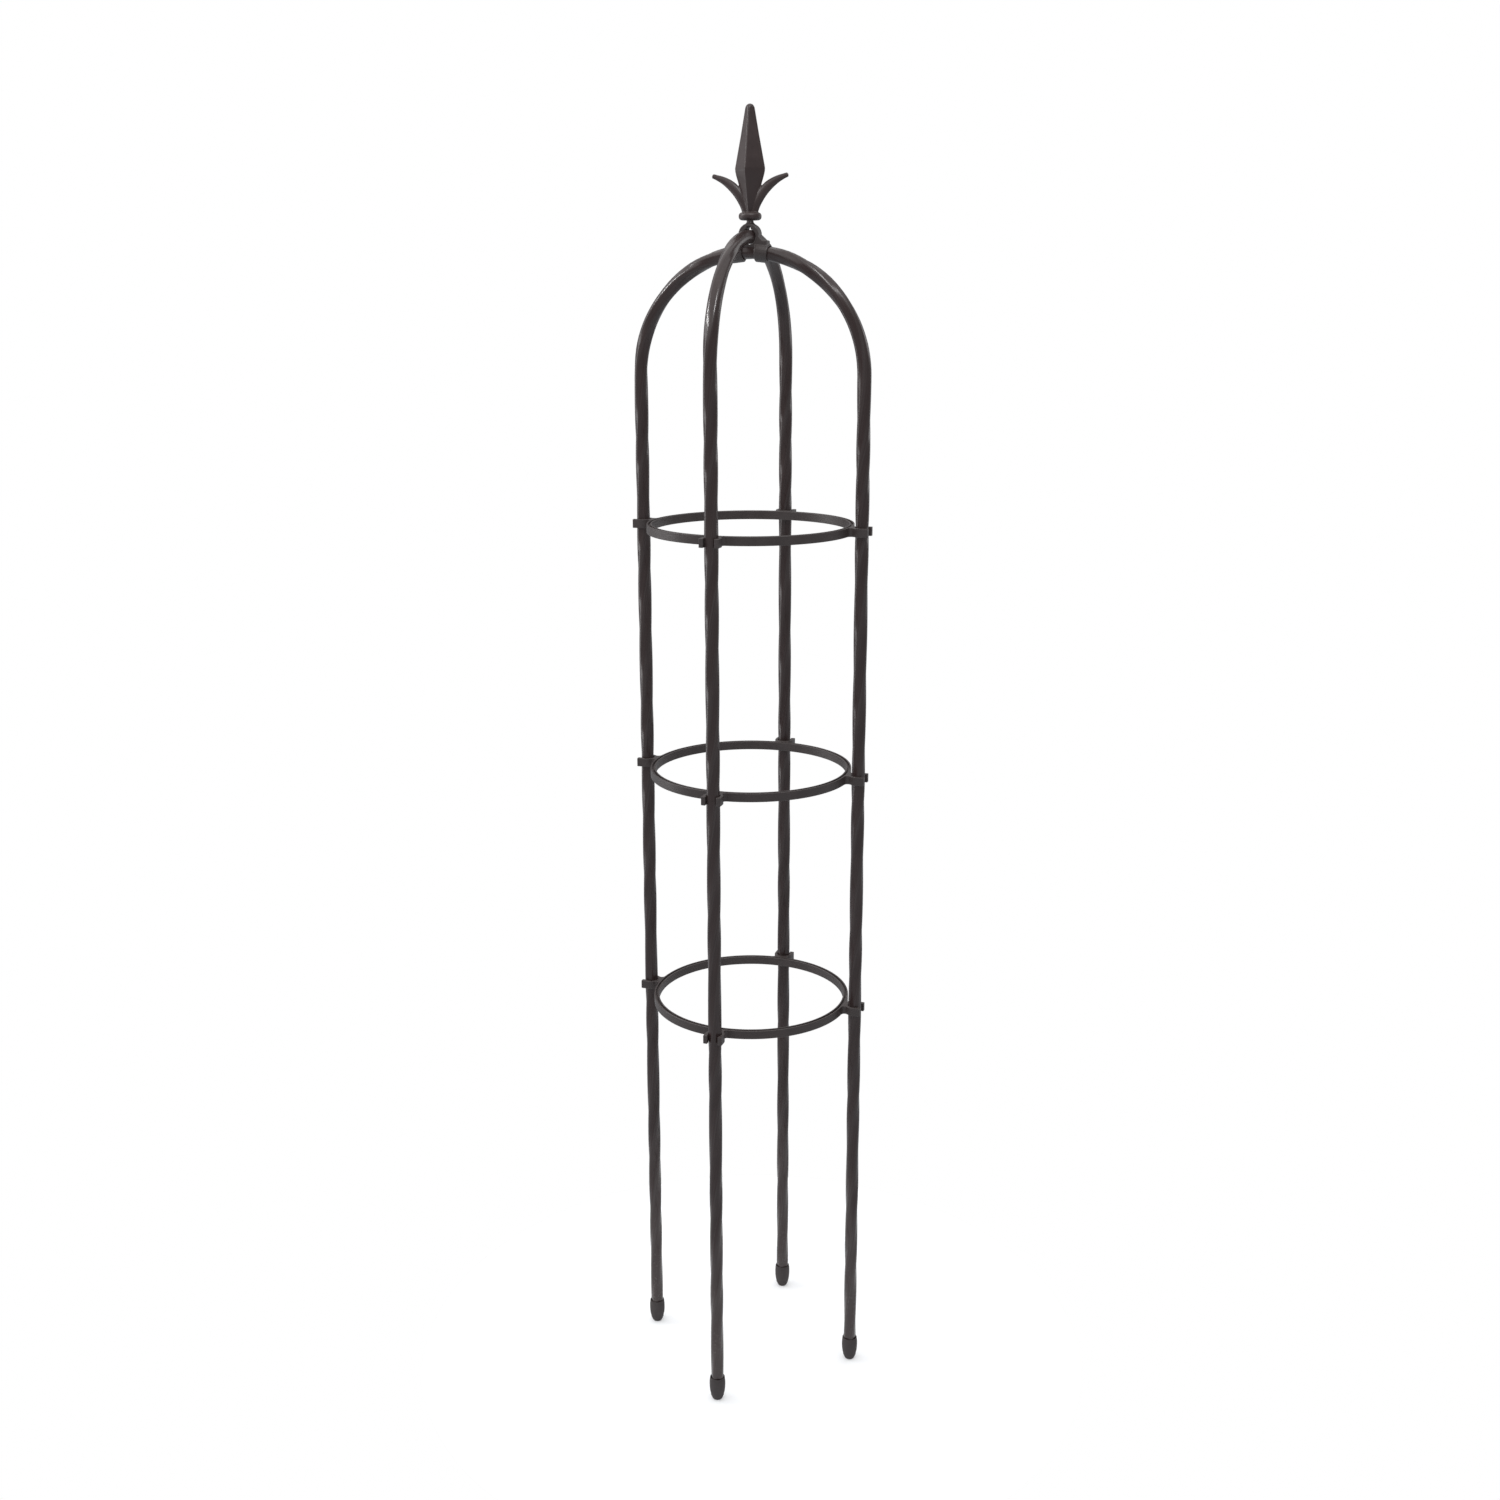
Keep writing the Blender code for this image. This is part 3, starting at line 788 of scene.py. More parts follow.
def coat_finish(finish):
    """Satin plastic coating, drawn lengthwise over the twist and rubbed along its ridges."""
    material, tree, shader = new_finish("coated_tube")
    run = add_node(tree, "ShaderNodeAttribute", attribute_name=RUN_ATTRIBUTE).outputs["Vector"]
    streaks = use_group(tree, "Lengthwise streaks", streaks_group,
                        {"Vector": run, "Width": 0.0016, "Length": 0.11})
    patches = use_group(tree, "Moulded grain", grain_group,
                        {"Vector": run, "Grain": 0.0007, "Patch": 0.045})
    film = use_group(tree, "Garden dust", dust_group, {"Vector": object_place(tree)})["Film"]
    parts = add_node(tree, "ShaderNodeSeparateXYZ", {"Vector": run}).outputs
    flat_place = add_node(tree, "ShaderNodeCombineXYZ", {"X": parts["X"], "Y": parts["Y"]}).outputs[0]
    out = add_node(tree, "ShaderNodeVectorMath", {0: flat_place}, operation="LENGTH").outputs["Value"]
    ridge = ranged(tree, out, TUBE_RADIUS - RIDGE_DEPTH, TUBE_RADIUS)
    rub = maths(tree, "MULTIPLY", ridge, streaks["Streaks"])

    tone = layered(tree, rgba(finish.coat),
                   (patches["Patches"], 0.35, scaled(finish.coat, PATCH_LIFT)),
                   (streaks["Streaks"], 0.16, rgba(finish.coat_worn)),
                   (rub, 0.45, rgba(finish.coat_worn)),
                   (film, 0.30, rgba(finish.dust)))
    feed(tree, shader.inputs["Base Color"], tone)
    dull = weighted(tree, (streaks["Streaks"], 0.10), (patches["Patches"], 0.06), (film, 0.25))
    feed(tree, shader.inputs["Roughness"], maths(tree, "ADD", dull, COAT_ROUGHNESS))
    shader.inputs["Specular IOR Level"].default_value = COAT_SPECULAR
    height = weighted(tree, (streaks["Fine"], 0.8), (patches["Height"], 0.10))
    bumped(tree, shader, height, COAT_RELIEF, 0.45)
    return material


def moulded_finish(name, base, finish, roughness, specular, grain=0.0005, rub_start=0.53):
    """Satin moulded plastic with fine grain, flow patches and lightly rubbed edges."""
    material, tree, shader = new_finish(name)
    place = object_place(tree)
    surface = use_group(tree, "Moulded grain", grain_group,
                        {"Vector": place, "Grain": grain, "Patch": 0.018})
    rub = use_group(tree, "Rubbed edges", rub_group,
                    {"Vector": place, "Start": rub_start, "Full": rub_start + RUB_SPREAD,
                     "Break up": 0.005})["Rub"]
    film = use_group(tree, "Garden dust", dust_group, {"Vector": place})["Film"]
    tone = layered(tree, rgba(base),
                   (surface["Patches"], 0.4, scaled(base, 1.5)),
                   (rub, 0.55, rgba(finish.moulding_worn)),
                   (film, 0.35, rgba(finish.dust)))
    feed(tree, shader.inputs["Base Color"], tone)
    dull = weighted(tree, (surface["Patches"], 0.10), (film, 0.2))
    feed(tree, shader.inputs["Roughness"], maths(tree, "ADD", dull, roughness))
    shader.inputs["Specular IOR Level"].default_value = specular
    bumped(tree, shader, surface["Height"], MOULDED_RELIEF, 0.35)
    return material


def zinc_finish(finish):
    """Zinc plate with a faint spangle over drawn steel."""
    material, tree, shader = new_finish("sleeve_steel")
    place = object_place(tree)
    streaks = use_group(tree, "Lengthwise streaks", streaks_group,
                        {"Vector": place, "Width": 0.0007, "Length": 0.03})
    spangle = add_node(tree, "ShaderNodeTexVoronoi", {"Vector": place, "Scale": 160.0})
    dark = scaled(finish.zinc, 0.62)
    spots = ranged(tree, spangle.outputs["Distance"], 0.1, 0.7)
    tone = layered(tree, rgba(finish.zinc), (spots, 1.0, dark), (streaks["Streaks"], 0.35, dark))
    feed(tree, shader.inputs["Base Color"], tone)
    dull = weighted(tree, (spots, 0.2))
    feed(tree, shader.inputs["Roughness"], maths(tree, "ADD", dull, ZINC_ROUGHNESS))
    shader.inputs["Metallic"].default_value = 1.0
    bumped(tree, shader, streaks["Fine"], 0.00008, 0.5)
    return material


# Pieces


def pole_matrix(heading):
    turn = Matrix.Rotation(math.radians(heading), 4, "Z")
    return turn @ Matrix.Translation((POLE_CIRCLE, 0.0, 0.0))


def tube_piece(name, points, run_start, phase, node, material, tube, tree):
    """One twisted tube along the points. run_start is the length of tube before its first point."""
    half = tube.across_flats / 2.0
    corner = (half * math.sqrt(2.0) - tube.across_corners / 2.0) / (math.sqrt(2.0) - 1.0)
    thing = add_object(name, line_mesh(name, points))
    set_inputs(thing, tree, {
        "Across flats": tube.across_flats,
        "Corner radius": corner,
        "Twist length": tube.twist_length,
        "Ring step": tube.ring_step,
        "Run start": run_start,
        "Phase": phase,
        "Wander": tube.wander,
        "Seed": tube.seed,
        "Material": material,
    })
    wall = thing.modifiers.new("wall", "SOLIDIFY")
    wall.thickness = tube.wall
    wall.offset = -1.0
    mesh = shade(evaluated_mesh(thing), 50.0)
    return finish_piece(name, mesh, None, "coated_tube", node)


def path_length(points):
    return sum((Vector(b) - Vector(a)).length for a, b in zip(points, points[1:]))


def upright_line(heading, low, high):
    foot = pole_matrix(heading) @ Vector((0.0, 0.0, 0.0))
    return [(foot.x, foot.y, low), (foot.x, foot.y, (low + high) / 2.0), (foot.x, foot.y, high)]


def arch_line(crown, heading):
    """The arch's centre line, rising from the pole opposite the heading and ending at the heading's."""
    bend = arc((0.0, crown - POLE_CIRCLE), POLE_CIRCLE, 180.0, 0.0, ARCH_POINTS)
    flat = [(-POLE_CIRCLE, JOINT_LEVEL)] + bend + [(POLE_CIRCLE, JOINT_LEVEL)]
    turn = Matrix.Rotation(math.radians(heading), 4, "Z")
    return [tuple(turn @ Vector((x, 0.0, z))) for x, z in flat]


def tube_runs():
    """Each arch with its two legs: names, headings, crown height and the twist's phase."""
    return (
        ("side", "left", "right", 0.0, SIDE_CROWN, 0.35),
        ("front", "front", "back", 90.0, FRONT_CROWN, 0.10),
    )


def fork_outline(ring):
    """Outline of one fork, u outwards from the obelisk's axis and v across."""
    bore = TUBE_RADIUS + FIT_GAP
    face = bore + ring.prong_thickness
    to_axis = ring.outer_radius + NECK_FILLET
    to_pole = face + NECK_FILLET
    fillet_u = (to_axis ** 2 - to_pole ** 2 + POLE_CIRCLE ** 2) / (2.0 * POLE_CIRCLE)
    fillet_v = math.sqrt(to_axis ** 2 - fillet_u ** 2)
    at_ring = math.degrees(math.atan2(fillet_v, fillet_u))
    at_fork = math.degrees(math.atan2(fillet_v, fillet_u - POLE_CIRCLE))
    root = arc((0.0, 0.0), ring.outer_radius - ROOT_OVERLAP, 0.0, at_ring, 6)
    neck = arc((fillet_u, fillet_v), NECK_FILLET, 180.0 + at_ring, 180.0 + at_fork, 10)
    back = arc((POLE_CIRCLE, 0.0), face, at_fork, 90.0, 5)
    tip = [
        (ring.prong_reach, face, PRONG_TIP_ROUND),
        (ring.prong_reach, MOUTH_HALF_WIDTH, MOUTH_ROUND),
    ]
    mouth = math.degrees(math.asin(MOUTH_HALF_WIDTH / bore))
    seat = arc((POLE_CIRCLE, 0.0), bore, mouth, 180.0, 18)
    half = plain(root[1:] + neck + back[1:]) + tip + plain(seat)
    mirrored = [(u, -v, radius) for u, v, radius in reversed(half[:-1])]
    return softened(half + mirrored + plain(root[:1]))


def band_section(ring):
    """The band's cut face, outwards and down, with the groove in its upper side."""
    side = ring.thickness / 2.0
    up = -ring.height / 2.0
    down = ring.height / 2.0
    lip = ring.groove_width / 2.0
    bed = lip - GROOVE_DRAFT
    deep = up + ring.groove_depth
    edge = ring.edge_round
    return softened([
        (side, down, edge),
        (side, up, edge),
        (lip, up, GROOVE_LIP_ROUND),
        (bed, deep, GROOVE_BED_ROUND),
        (-bed, deep, GROOVE_BED_ROUND),
        (-lip, up, GROOVE_LIP_ROUND),
        (-side, up, edge),
        (-side, down, edge),
    ], 3)


def yoke_outline(bracket):
    """The yoke's outline in X-Z: a lug over each clip and a round top."""
    outer = TUBE_RADIUS + FIT_GAP + bracket.yoke_wall
    lug = SIDE_CROWN + YOKE_SHOULDER
    lug_end = CLIP_OUTER_END - LUG_INSET
    right = [
        (lug_end, SIDE_CROWN, 0.0),
        (lug_end, lug, LUG_ROUND),
        (outer + WAIST_WIDTH, lug, WAIST_ROUND),
        (outer, lug + WAIST_RISE, LIMB_ROUND),
    ]
    left = [(-x, z, radius) for x, z, radius in reversed(right)]
    over = plain(arc((0.0, FRONT_CROWN + YOKE_HEADROOM), outer, 4.0, 176.0, 28))
    return softened(right + over + left)


def window_mesh(bracket):
    """A bar that cuts the hole for the front arch, with a notch at its top."""
    bore = TUBE_RADIUS + WINDOW_GAP
    top = FRONT_CROWN + bore + YOKE_HEADROOM
    notch = [(WINDOW_NOTCH, top, NOTCH_ROUND), (-WINDOW_NOTCH, top, NOTCH_ROUND)]
    outline = softened(plain(arc((0.0, FRONT_CROWN), bore, 110.0, 430.0, 40)) + notch)
    return clean(slab("window", outline, 2.0 * bracket.yoke_depth, 0.0001), UPRIGHT)


def side_arch_stretch(low, high, steps):
    """Points along the side arch's centre line near the crown, from one X to another."""
    centre = (0.0, SIDE_CROWN - POLE_CIRCLE)
    start = math.degrees(math.acos(low / POLE_CIRCLE))
    end = math.degrees(math.acos(high / POLE_CIRCLE))
    return [(x, 0.0, z) for x, z in arc(centre, POLE_CIRCLE, start, end, steps)]


def clip_mesh(side, bracket):
    """A clip before it is bored, with rounded shoulders at both ends."""
    radius = bracket.clip_radius
    shoulders = ((0.0, 0.0010), (0.0003, 0.0004), (0.0010, 0.0))
    stations = [(CLIP_INNER_END + along, radius - drop) for along, drop in shoulders]
    stations += [(CLIP_OUTER_END - along, radius - 1.4 * drop) for along, drop in reversed(shoulders)]
    points = [side_arch_stretch(side * x, side * x, 1)[0] for x, _ in stations]
    return bar("clip", points, [size for _, size in stations])


def slot_mesh(bracket):
    """A box that opens the clips at the back, where they snap over the tube."""
    size = Vector((3.0 * CLIP_OUTER_END, 2.0 * bracket.clip_radius, CLIP_SLOT))
    place = Vector((0.0, bracket.clip_radius + CLIP_WRAP, SIDE_CROWN - CLIP_SLOT_DROP))
    matrix = Matrix.Translation(place) @ Matrix.Diagonal(size.to_4d())
    return mesh_from("clip slot", lambda shape: bmesh.ops.create_cube(shape, size=1.0, matrix=matrix))


def stem_profile(bracket):
    base = FRONT_CROWN + YOKE_HEADROOM + TUBE_RADIUS + bracket.yoke_wall / 2.0
    top = [(0.0, STEM_TOP), (STEM_RADIUS - STEM_CHAMFER, STEM_TOP), (STEM_RADIUS, STEM_TOP - STEM_CHAMFER)]
    flare = arc((STEM_RADIUS + STEM_FLARE, base + STEM_FLARE_RISE), STEM_FLARE, 180.0, 250.0, 5)
    return top + flare + [(STEM_RADIUS + STEM_FOOT, base), (0.0, base)]


def diamond_row(shape, half_width, edge_round, height):
    """One level of the four-sided spear, with its corners rounded."""
    row = []
    for corner in range(4):
        heading = math.radians(90.0 * corner)
        centre = Vector((math.cos(heading), math.sin(heading), 0.0)) * (half_width - edge_round)
        for step in range(5):
            angle = heading + math.radians(-45.0 + 22.5 * step)
            spoke = Vector((math.cos(angle), math.sin(angle), 0.0)) * edge_round
            row.append(shape.verts.new(centre + spoke + Vector((0.0, 0.0, height))))
    return row


def spear_levels(finial):
    """(corner distance, edge rounding, height) up the spear, from inside the collar to the tip."""
    foot = FINIAL_LOW.z + finial.collar_height
    wide = finial.wide_level
    tip = FINIAL_HIGH.z
    full = finial.half_width
    levels = [
        (0.0052, 0.0010, foot - 0.0030),
        (0.0057, 0.0011, foot + 0.0005),
        (0.0100, SPEAR_EDGE_ROUND, foot + 0.0165),
        (0.0143, SPEAR_EDGE_ROUND, wide - 0.0175),
        (full - 0.0013, SPEAR_EDGE_ROUND, wide - 0.0086),
        (full - 0.0003, SPEAR_EDGE_ROUND, wide - 0.0042),
        (full, SPEAR_EDGE_ROUND, wide - 0.0010),
        (full - 0.0004, SPEAR_EDGE_ROUND, wide + 0.0014),
        (0.0112, SPEAR_EDGE_ROUND, wide + 0.0355),
        (0.0057, 0.0022, tip - 0.0046),
    ]
    dome = 0.0052
    for turn in (15.0, 35.0, 55.0, 75.0):
        angle = math.radians(turn)
        size = dome * math.cos(angle)
        levels.append((size, 0.8 * size, tip - dome * 0.86 * (1.0 - math.sin(angle))))
    return levels


def spear_mesh(finial):
    def build(shape):
        rows = [diamond_row(shape, *level) for level in spear_levels(finial)]
        sides = len(rows[0])
        base = shape.verts.new((0.0, 0.0, spear_levels(finial)[0][2]))
        top = shape.verts.new((0.0, 0.0, FINIAL_HIGH.z))
        join_rows(shape, [[base] * sides] + rows + [[top] * sides], sides)
    return clean(mesh_from("spear", build))


def curve_through(points, stations):
    """Points on a smooth curve through the given ones, with the direction at each."""
    padded = [points[0]] + list(points) + [points[-1]]
    found = []
    for station in range(stations + 1):
        place = station / stations * (len(points) - 1)
        first = min(int(place), len(points) - 2)
        t = place - first
        a, b, c, d = (Vector(padded[first + offset]) for offset in range(4))
        spot = 0.5 * (2.0 * b + (c - a) * t + (2.0 * a - 5.0 * b + 4.0 * c - d) * t ** 2
                      + (3.0 * b - a - 3.0 * c + d) * t ** 3)
        along = 0.5 * ((c - a) + 2.0 * (2.0 * a - 5.0 * b + 4.0 * c - d) * t
                       + 3.0 * (3.0 * b - a - 3.0 * c + d) * t ** 2)
        found.append((spot, along.normalized()))
    return found


def leaf_mesh(side, finial):
    """A curled leaf of ridged section. It rises from the waist and bends outwards to a round tip."""
    foot = FINIAL_LOW.z + finial.collar_height
    # outwards, above the collar, half thickness
    line = [
        (0.0038, foot - 0.0040, 0.0050),
        (0.0057, foot + 0.0045, 0.0054),
        (0.0090, foot + 0.0122, 0.0057),
        (0.0153, foot + 0.0222, 0.0060),
        (0.0238, foot + 0.0305, 0.0055),
        (0.0330, foot + 0.0362, 0.0042),
        (0.0415, foot + 0.0397, 0.0030),
        (0.0452, foot + 0.0409, 0.0027),
    ]

    def build(shape):
        stations = curve_through(line, LEAF_STATIONS)
        rows = []
        for spot, along in stations:
            rows.append(leaf_row(shape, spot, along, side, spot.z))
        end, along = stations[-1]
        radius = end.z
        for turn in (25.0, 50.0, 72.0):
            angle = math.radians(turn)
            ahead = end + Vector((along.x, along.y, 0.0)) * radius * LEAF_END * math.sin(angle)
            rows.append(leaf_row(shape, ahead, along, side, radius * math.cos(angle)))
        base = shape.verts.new((side * line[0][0], 0.0, line[0][1]))
        tip = end + Vector((along.x, along.y, 0.0)) * radius * LEAF_TIP
        top = shape.verts.new((side * tip.x, 0.0, tip.y))
        join_rows(shape, [[base] * LEAF_SIDES] + rows + [[top] * LEAF_SIDES], LEAF_SIDES)
    return clean(mesh_from("leaf", build))


def leaf_row(shape, spot, along, side, half):
    """One section of a leaf: between an oval and a diamond, its ridges at the front and back."""
    across = Vector((-along.y, along.x)).normalized()
    row = []
    for turn in range(LEAF_SIDES):
        angle = math.tau * turn / LEAF_SIDES
        cosine = math.copysign(abs(math.cos(angle)) ** LEAF_SQUARENESS, math.cos(angle))
        sine = math.copysign(abs(math.sin(angle)) ** LEAF_SQUARENESS, math.sin(angle))
        x = spot.x + across.x * half * cosine
        z = spot.y + across.y * half * cosine
        row.append(shape.verts.new((side * x, half * LEAF_DEPTH * sine, z)))
    return row


def collar_profile(finial):
    rim = finial.collar_height / 2.0
    low = FINIAL_LOW.z
    outer = finial.collar_radius
    soft = rim * 0.86
    upper = arc((outer - soft, low + 2.0 * rim - soft), soft, 90.0, 0.0, 8)
    lower = arc((outer - soft, low + soft), soft, 0.0, -90.0, 8)
    return [(0.0, low + 2.0 * rim)] + upper + lower + [(0.0, low)]


def cap_profile(cap):
    """From the bore's floor up its wall, over the rim, down the egg shape and across the foot."""
    bore = TUBE_RADIUS + FIT_GAP
    top = cap.height
    face = cap.face_radius
    inside = [
        (0.0, cap.floor),
        (bore - CAP_BORE_ROUND, cap.floor),
        (bore, cap.floor + CAP_BORE_ROUND),
        (bore, top - CAP_MOUTH_BEVEL),
        (bore + CAP_EDGE, top),
    ]
    rim = [(cap.rim_radius - CAP_EDGE, top), (cap.rim_radius, top - CAP_EDGE)]
    # How far the side draws in from the belly, at a share of the height
    side = [(cap.belly_radius - inset, top * share) for inset, share in (
        (0.00042, 0.90), (0.00012, 0.82), (0.0, 0.72), (0.00002, 0.62), (0.00016, 0.52),
        (0.00048, 0.42), (0.00100, 0.32), (0.00172, 0.22), (0.00240, 0.145))]
    # How far the turn into the flat foot stands out from the foot
    turn = [(face + step, top * share) for step, share in (
        (0.00185, 0.085), (0.00105, 0.030), (0.00050, 0.008), (0.0, 0.0))]
    return inside + rim + side + turn + [(face * 0.55, 0.0), (0.0, 0.0)]


class ObeliskOperator:
    """What all the operators share"""

    bl_options = {"REGISTER"}

    @property
    def settings(self):
        return bpy.context.scene.obelisk


class OBELISK_OT_tubes(ObeliskOperator, bpy.types.Operator):
    """Make the two crossing arches and the four legs of twisted coated tube"""

    bl_idname = "obelisk.tubes"
    bl_label = "Twisted Tubes"

    def execute(self, context):
        tube = self.settings.tube
        coat = coat_finish(self.settings.finish)
        tree = twisted_tube_tree()
        for name, first, last, heading, crown, phase in tube_runs():
            low, high = LEG_LOW.z, LEG_HIGH.z
            arch = arch_line(crown, heading)
            before = high - low
            after = before + path_length(arch)
            rising = upright_line(heading + 180.0, low, high)
            falling = upright_line(heading, high, low)
            tube_piece(f"{first}_leg_tube", rising, 0.0, phase, f"leg_{first}", coat, tube, tree)
            tube_piece(f"{name}_arch_tube", arch, before, phase, f"arch_{name}", coat, tube, tree)
            tube_piece(f"{last}_leg_tube", falling, after, phase, f"leg_{last}", coat, tube, tree)
        return {"FINISHED"}


class OBELISK_OT_rings(ObeliskOperator, bpy.types.Operator):
    """Make the three grooved rings with their forks"""

    bl_idname = "obelisk.rings"
    bl_label = "Clip Rings"

    def execute(self, context):
        ring = self.settings.ring
        finish = self.settings.finish
        plastic = moulded_finish("ring_moulding", finish.moulding, finish, 0.42, 0.5)
        tree = clip_ring_tree()
        section = [(x, y, 0.0) for x, y in band_section(ring)]
        section_line = add_object("band section", line_mesh("band section", section, True))
        for name in RING_NAMES:
            low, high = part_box(f"ring_{name}")
            fork = slab("fork", fork_outline(ring), ring.height, ring.edge_round)
            thing = add_object(f"{name}_ring", fork)
            set_inputs(thing, tree, {
                "Section": section_line,
                "Band radius": ring.outer_radius - ring.thickness / 2.0,
                "Sides": RING_SIDES,
                "Forks": len(POLES),
                "Level": (low.z + high.z) / 2.0,
                "Material": plastic,
            })
            mesh = shade(clean(evaluated_mesh(thing)), 38.0)
            mesh = with_flat_faces_kept(f"{name}_ring", mesh)
            finish_piece(f"{name}_clip_ring", mesh, plastic, "ring_moulding", f"ring_{name}")
        bpy.data.objects.remove(section_line, do_unlink=True)
        return {"FINISHED"}


class OBELISK_OT_crown_bracket(ObeliskOperator, bpy.types.Operator):
    """Make the moulded bracket that ties the two arches at the crown"""

    bl_idname = "obelisk.crown_bracket"
    bl_label = "Crown Bracket"

    def execute(self, context):
        bracket = self.settings.bracket
        finish = self.settings.finish
        yoke = slab("yoke", yoke_outline(bracket), bracket.yoke_depth, bracket.edge_round)
        clean(yoke, UPRIGHT)
        bore_line = side_arch_stretch(-2.0 * CLIP_OUTER_END, 2.0 * CLIP_OUTER_END, 24)
        bore = bar("tube bore", bore_line, [TUBE_RADIUS + FIT_GAP] * len(bore_line))
        mesh = combined("bracket", yoke, [
            ("UNION", clip_mesh(-1.0, bracket)),
            ("UNION", clip_mesh(1.0, bracket)),
            ("UNION", turned("stem", stem_profile(bracket), 32)),
            ("DIFFERENCE", window_mesh(bracket)),
            ("DIFFERENCE", bore),
            ("DIFFERENCE", slot_mesh(bracket)),
        ])
        plastic = moulded_finish("bracket_moulding", finish.moulding, finish, 0.40, 0.5, rub_start=0.56)
        finish_piece("arch_crossing_bracket", blended("bracket", mesh), plastic,
                     "bracket_moulding", "crown_bracket")
        return {"FINISHED"}


class OBELISK_OT_finial(ObeliskOperator, bpy.types.Operator):
    """Make the spear finial with its two curled leaves"""

    bl_idname = "obelisk.finial"
    bl_label = "Spear Finial"

    def execute(self, context):
        finial = self.settings.finial
        finish = self.settings.finish
        depth = FINIAL_LOW.z + STEM_INSERT + FIT_GAP
        mouth = FINIAL_LOW.z - 0.002
        bore = STEM_RADIUS + FIT_GAP
        socket = turned("socket", [(0.0, mouth), (bore, mouth), (bore, depth), (0.0, depth)], 32)
        mesh = combined("finial body", spear_mesh(finial), [
            ("UNION", turned("collar", collar_profile(finial), 56)),
            ("UNION", leaf_mesh(-1.0, finial)),
            ("UNION", leaf_mesh(1.0, finial)),
            ("DIFFERENCE", socket),
        ])
        plastic = moulded_finish("finial_moulding", finish.finial, finish, 0.38, 0.45, rub_start=0.56)
        finish_piece("spear_finial", blended("spear_finial", mesh), plastic, "finial_moulding", "finial")
        return {"FINISHED"}


class OBELISK_OT_foot_caps(ObeliskOperator, bpy.types.Operator):
    """Make the four egg-shaped foot caps"""

    bl_idname = "obelisk.foot_caps"
    bl_label = "Foot Caps"

    def execute(self, context):
        cap = self.settings.cap
        finish = self.settings.finish
        rubber = moulded_finish("cap_rubber", finish.rubber, finish, 0.66, 0.35, 0.0007, 0.54)
        for pole, heading in POLES.items():
            mesh = turned("foot cap", cap_profile(cap), cap.sides)
            mesh.transform(pole_matrix(heading))
            finish_piece(f"{pole}_foot_cap", shade(mesh, 45.0), rubber, "cap_rubber", f"end_cap_{pole}")
        return {"FINISHED"}


class OBELISK_OT_joint_sleeves(ObeliskOperator, bpy.types.Operator):
    """Give the four hidden joint sleeves their plated finish"""

    bl_idname = "obelisk.joint_sleeves"
    bl_label = "Joint Sleeves"

    def execute(self, context):
        zinc = zinc_finish(self.settings.finish)
        for pole in POLES:
            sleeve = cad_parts[f"joint_sleeve_{pole}"]
            for place in range(len(sleeve.material_slots)):
                sleeve.material_slots[place].material = zinc
        return {"FINISHED"}


class OBELISK_OT_stage(ObeliskOperator, bpy.types.Operator):
    """Make the pale floor, the soft light and the camera"""

    bl_idname = "obelisk.stage"
    bl_label = "Stage"

    def execute(self, context):
        stage = self.settings.stage
        add_floor(stage)
        add_surround(stage)
        add_lights(stage)
        add_camera(stage)
        return {"FINISHED"}


# Stage


def add_floor(stage):
    def build(shape):
        rim = []
        for x, y in arc((0.0, 0.0), stage.floor_radius, 0.0, 360.0, FLOOR_SIDES)[:-1]:
            rim.append(shape.verts.new((x, y, FLOOR_LEVEL)))
        shape.faces.new(rim)
    floor = add_object("studio_floor", mesh_from("studio_floor", build))
    material, tree, shader = new_finish("studio_floor")
    cloud = noise(tree, object_place(tree), 1.5, 2.0)
    tone = colour_mix(tree, cloud, rgba(stage.floor), rgba([0.985 * part for part in stage.floor]))
    feed(tree, shader.inputs["Base Color"], tone)
    shader.inputs["Roughness"].default_value = 0.9
    shader.inputs["Specular IOR Level"].default_value = 0.1
    floor.data.materials.append(material)


def add_surround(stage):
    """A white backdrop. Light and gloss see a dimmer room instead, which is brighter lower down."""
    world = bpy.data.worlds.new("studio")
    bpy.context.scene.world = world
    world.use_nodes = True
    tree = world.node_tree
    tree.nodes.clear()
    level = stage.surround
    heading = add_node(tree, "ShaderNodeSeparateXYZ",
                       {"Vector": add_node(tree, "ShaderNodeTexCoord").outputs["Generated"]})
    below = ranged(tree, heading.outputs["Z"], 0.0, BOUNCE_SLOPE)
    tint = colour_mix(tree, below, (level, level, 1.02 * level, 1.0),
                      rgba([stage.bounce * part for part in BOUNCE_TINT]))
    room = add_node(tree, "ShaderNodeBackground", {"Color": tint})
    backdrop = add_node(tree, "ShaderNodeBackground", {"Color": (1.0, 1.0, 1.0, 1.0)})
    seen = add_node(tree, "ShaderNodeLightPath").outputs["Is Camera Ray"]
    mixed = add_node(tree, "ShaderNodeMixShader",
                     {0: seen, 1: room.outputs[0], 2: backdrop.outputs[0]})
    output = tree.nodes.new("ShaderNodeOutputWorld")
    feed(tree, output.inputs["Surface"], mixed.outputs[0])


def aimed(place, target):
    """A matrix that puts a light at place, facing the target."""
    back = (Vector(place) - Vector(target)).normalized()
    return Matrix.Translation(place) @ back.to_track_quat("Z", "Y").to_matrix().to_4x4()


def add_area(name, layout, watts, shadow=True):
    """A soft lamp. Those that only give highlights cast no shadow."""
    place, target, width, height = layout
    light = bpy.data.lights.new(name, "AREA")
    light.shape = "RECTANGLE"
    light.size = width
    light.size_y = height
    light.energy = watts
    light.use_shadow = shadow
    lamp = add_object(name, light)
    lamp.matrix_world = aimed(place, target)
    lamp.visible_camera = False


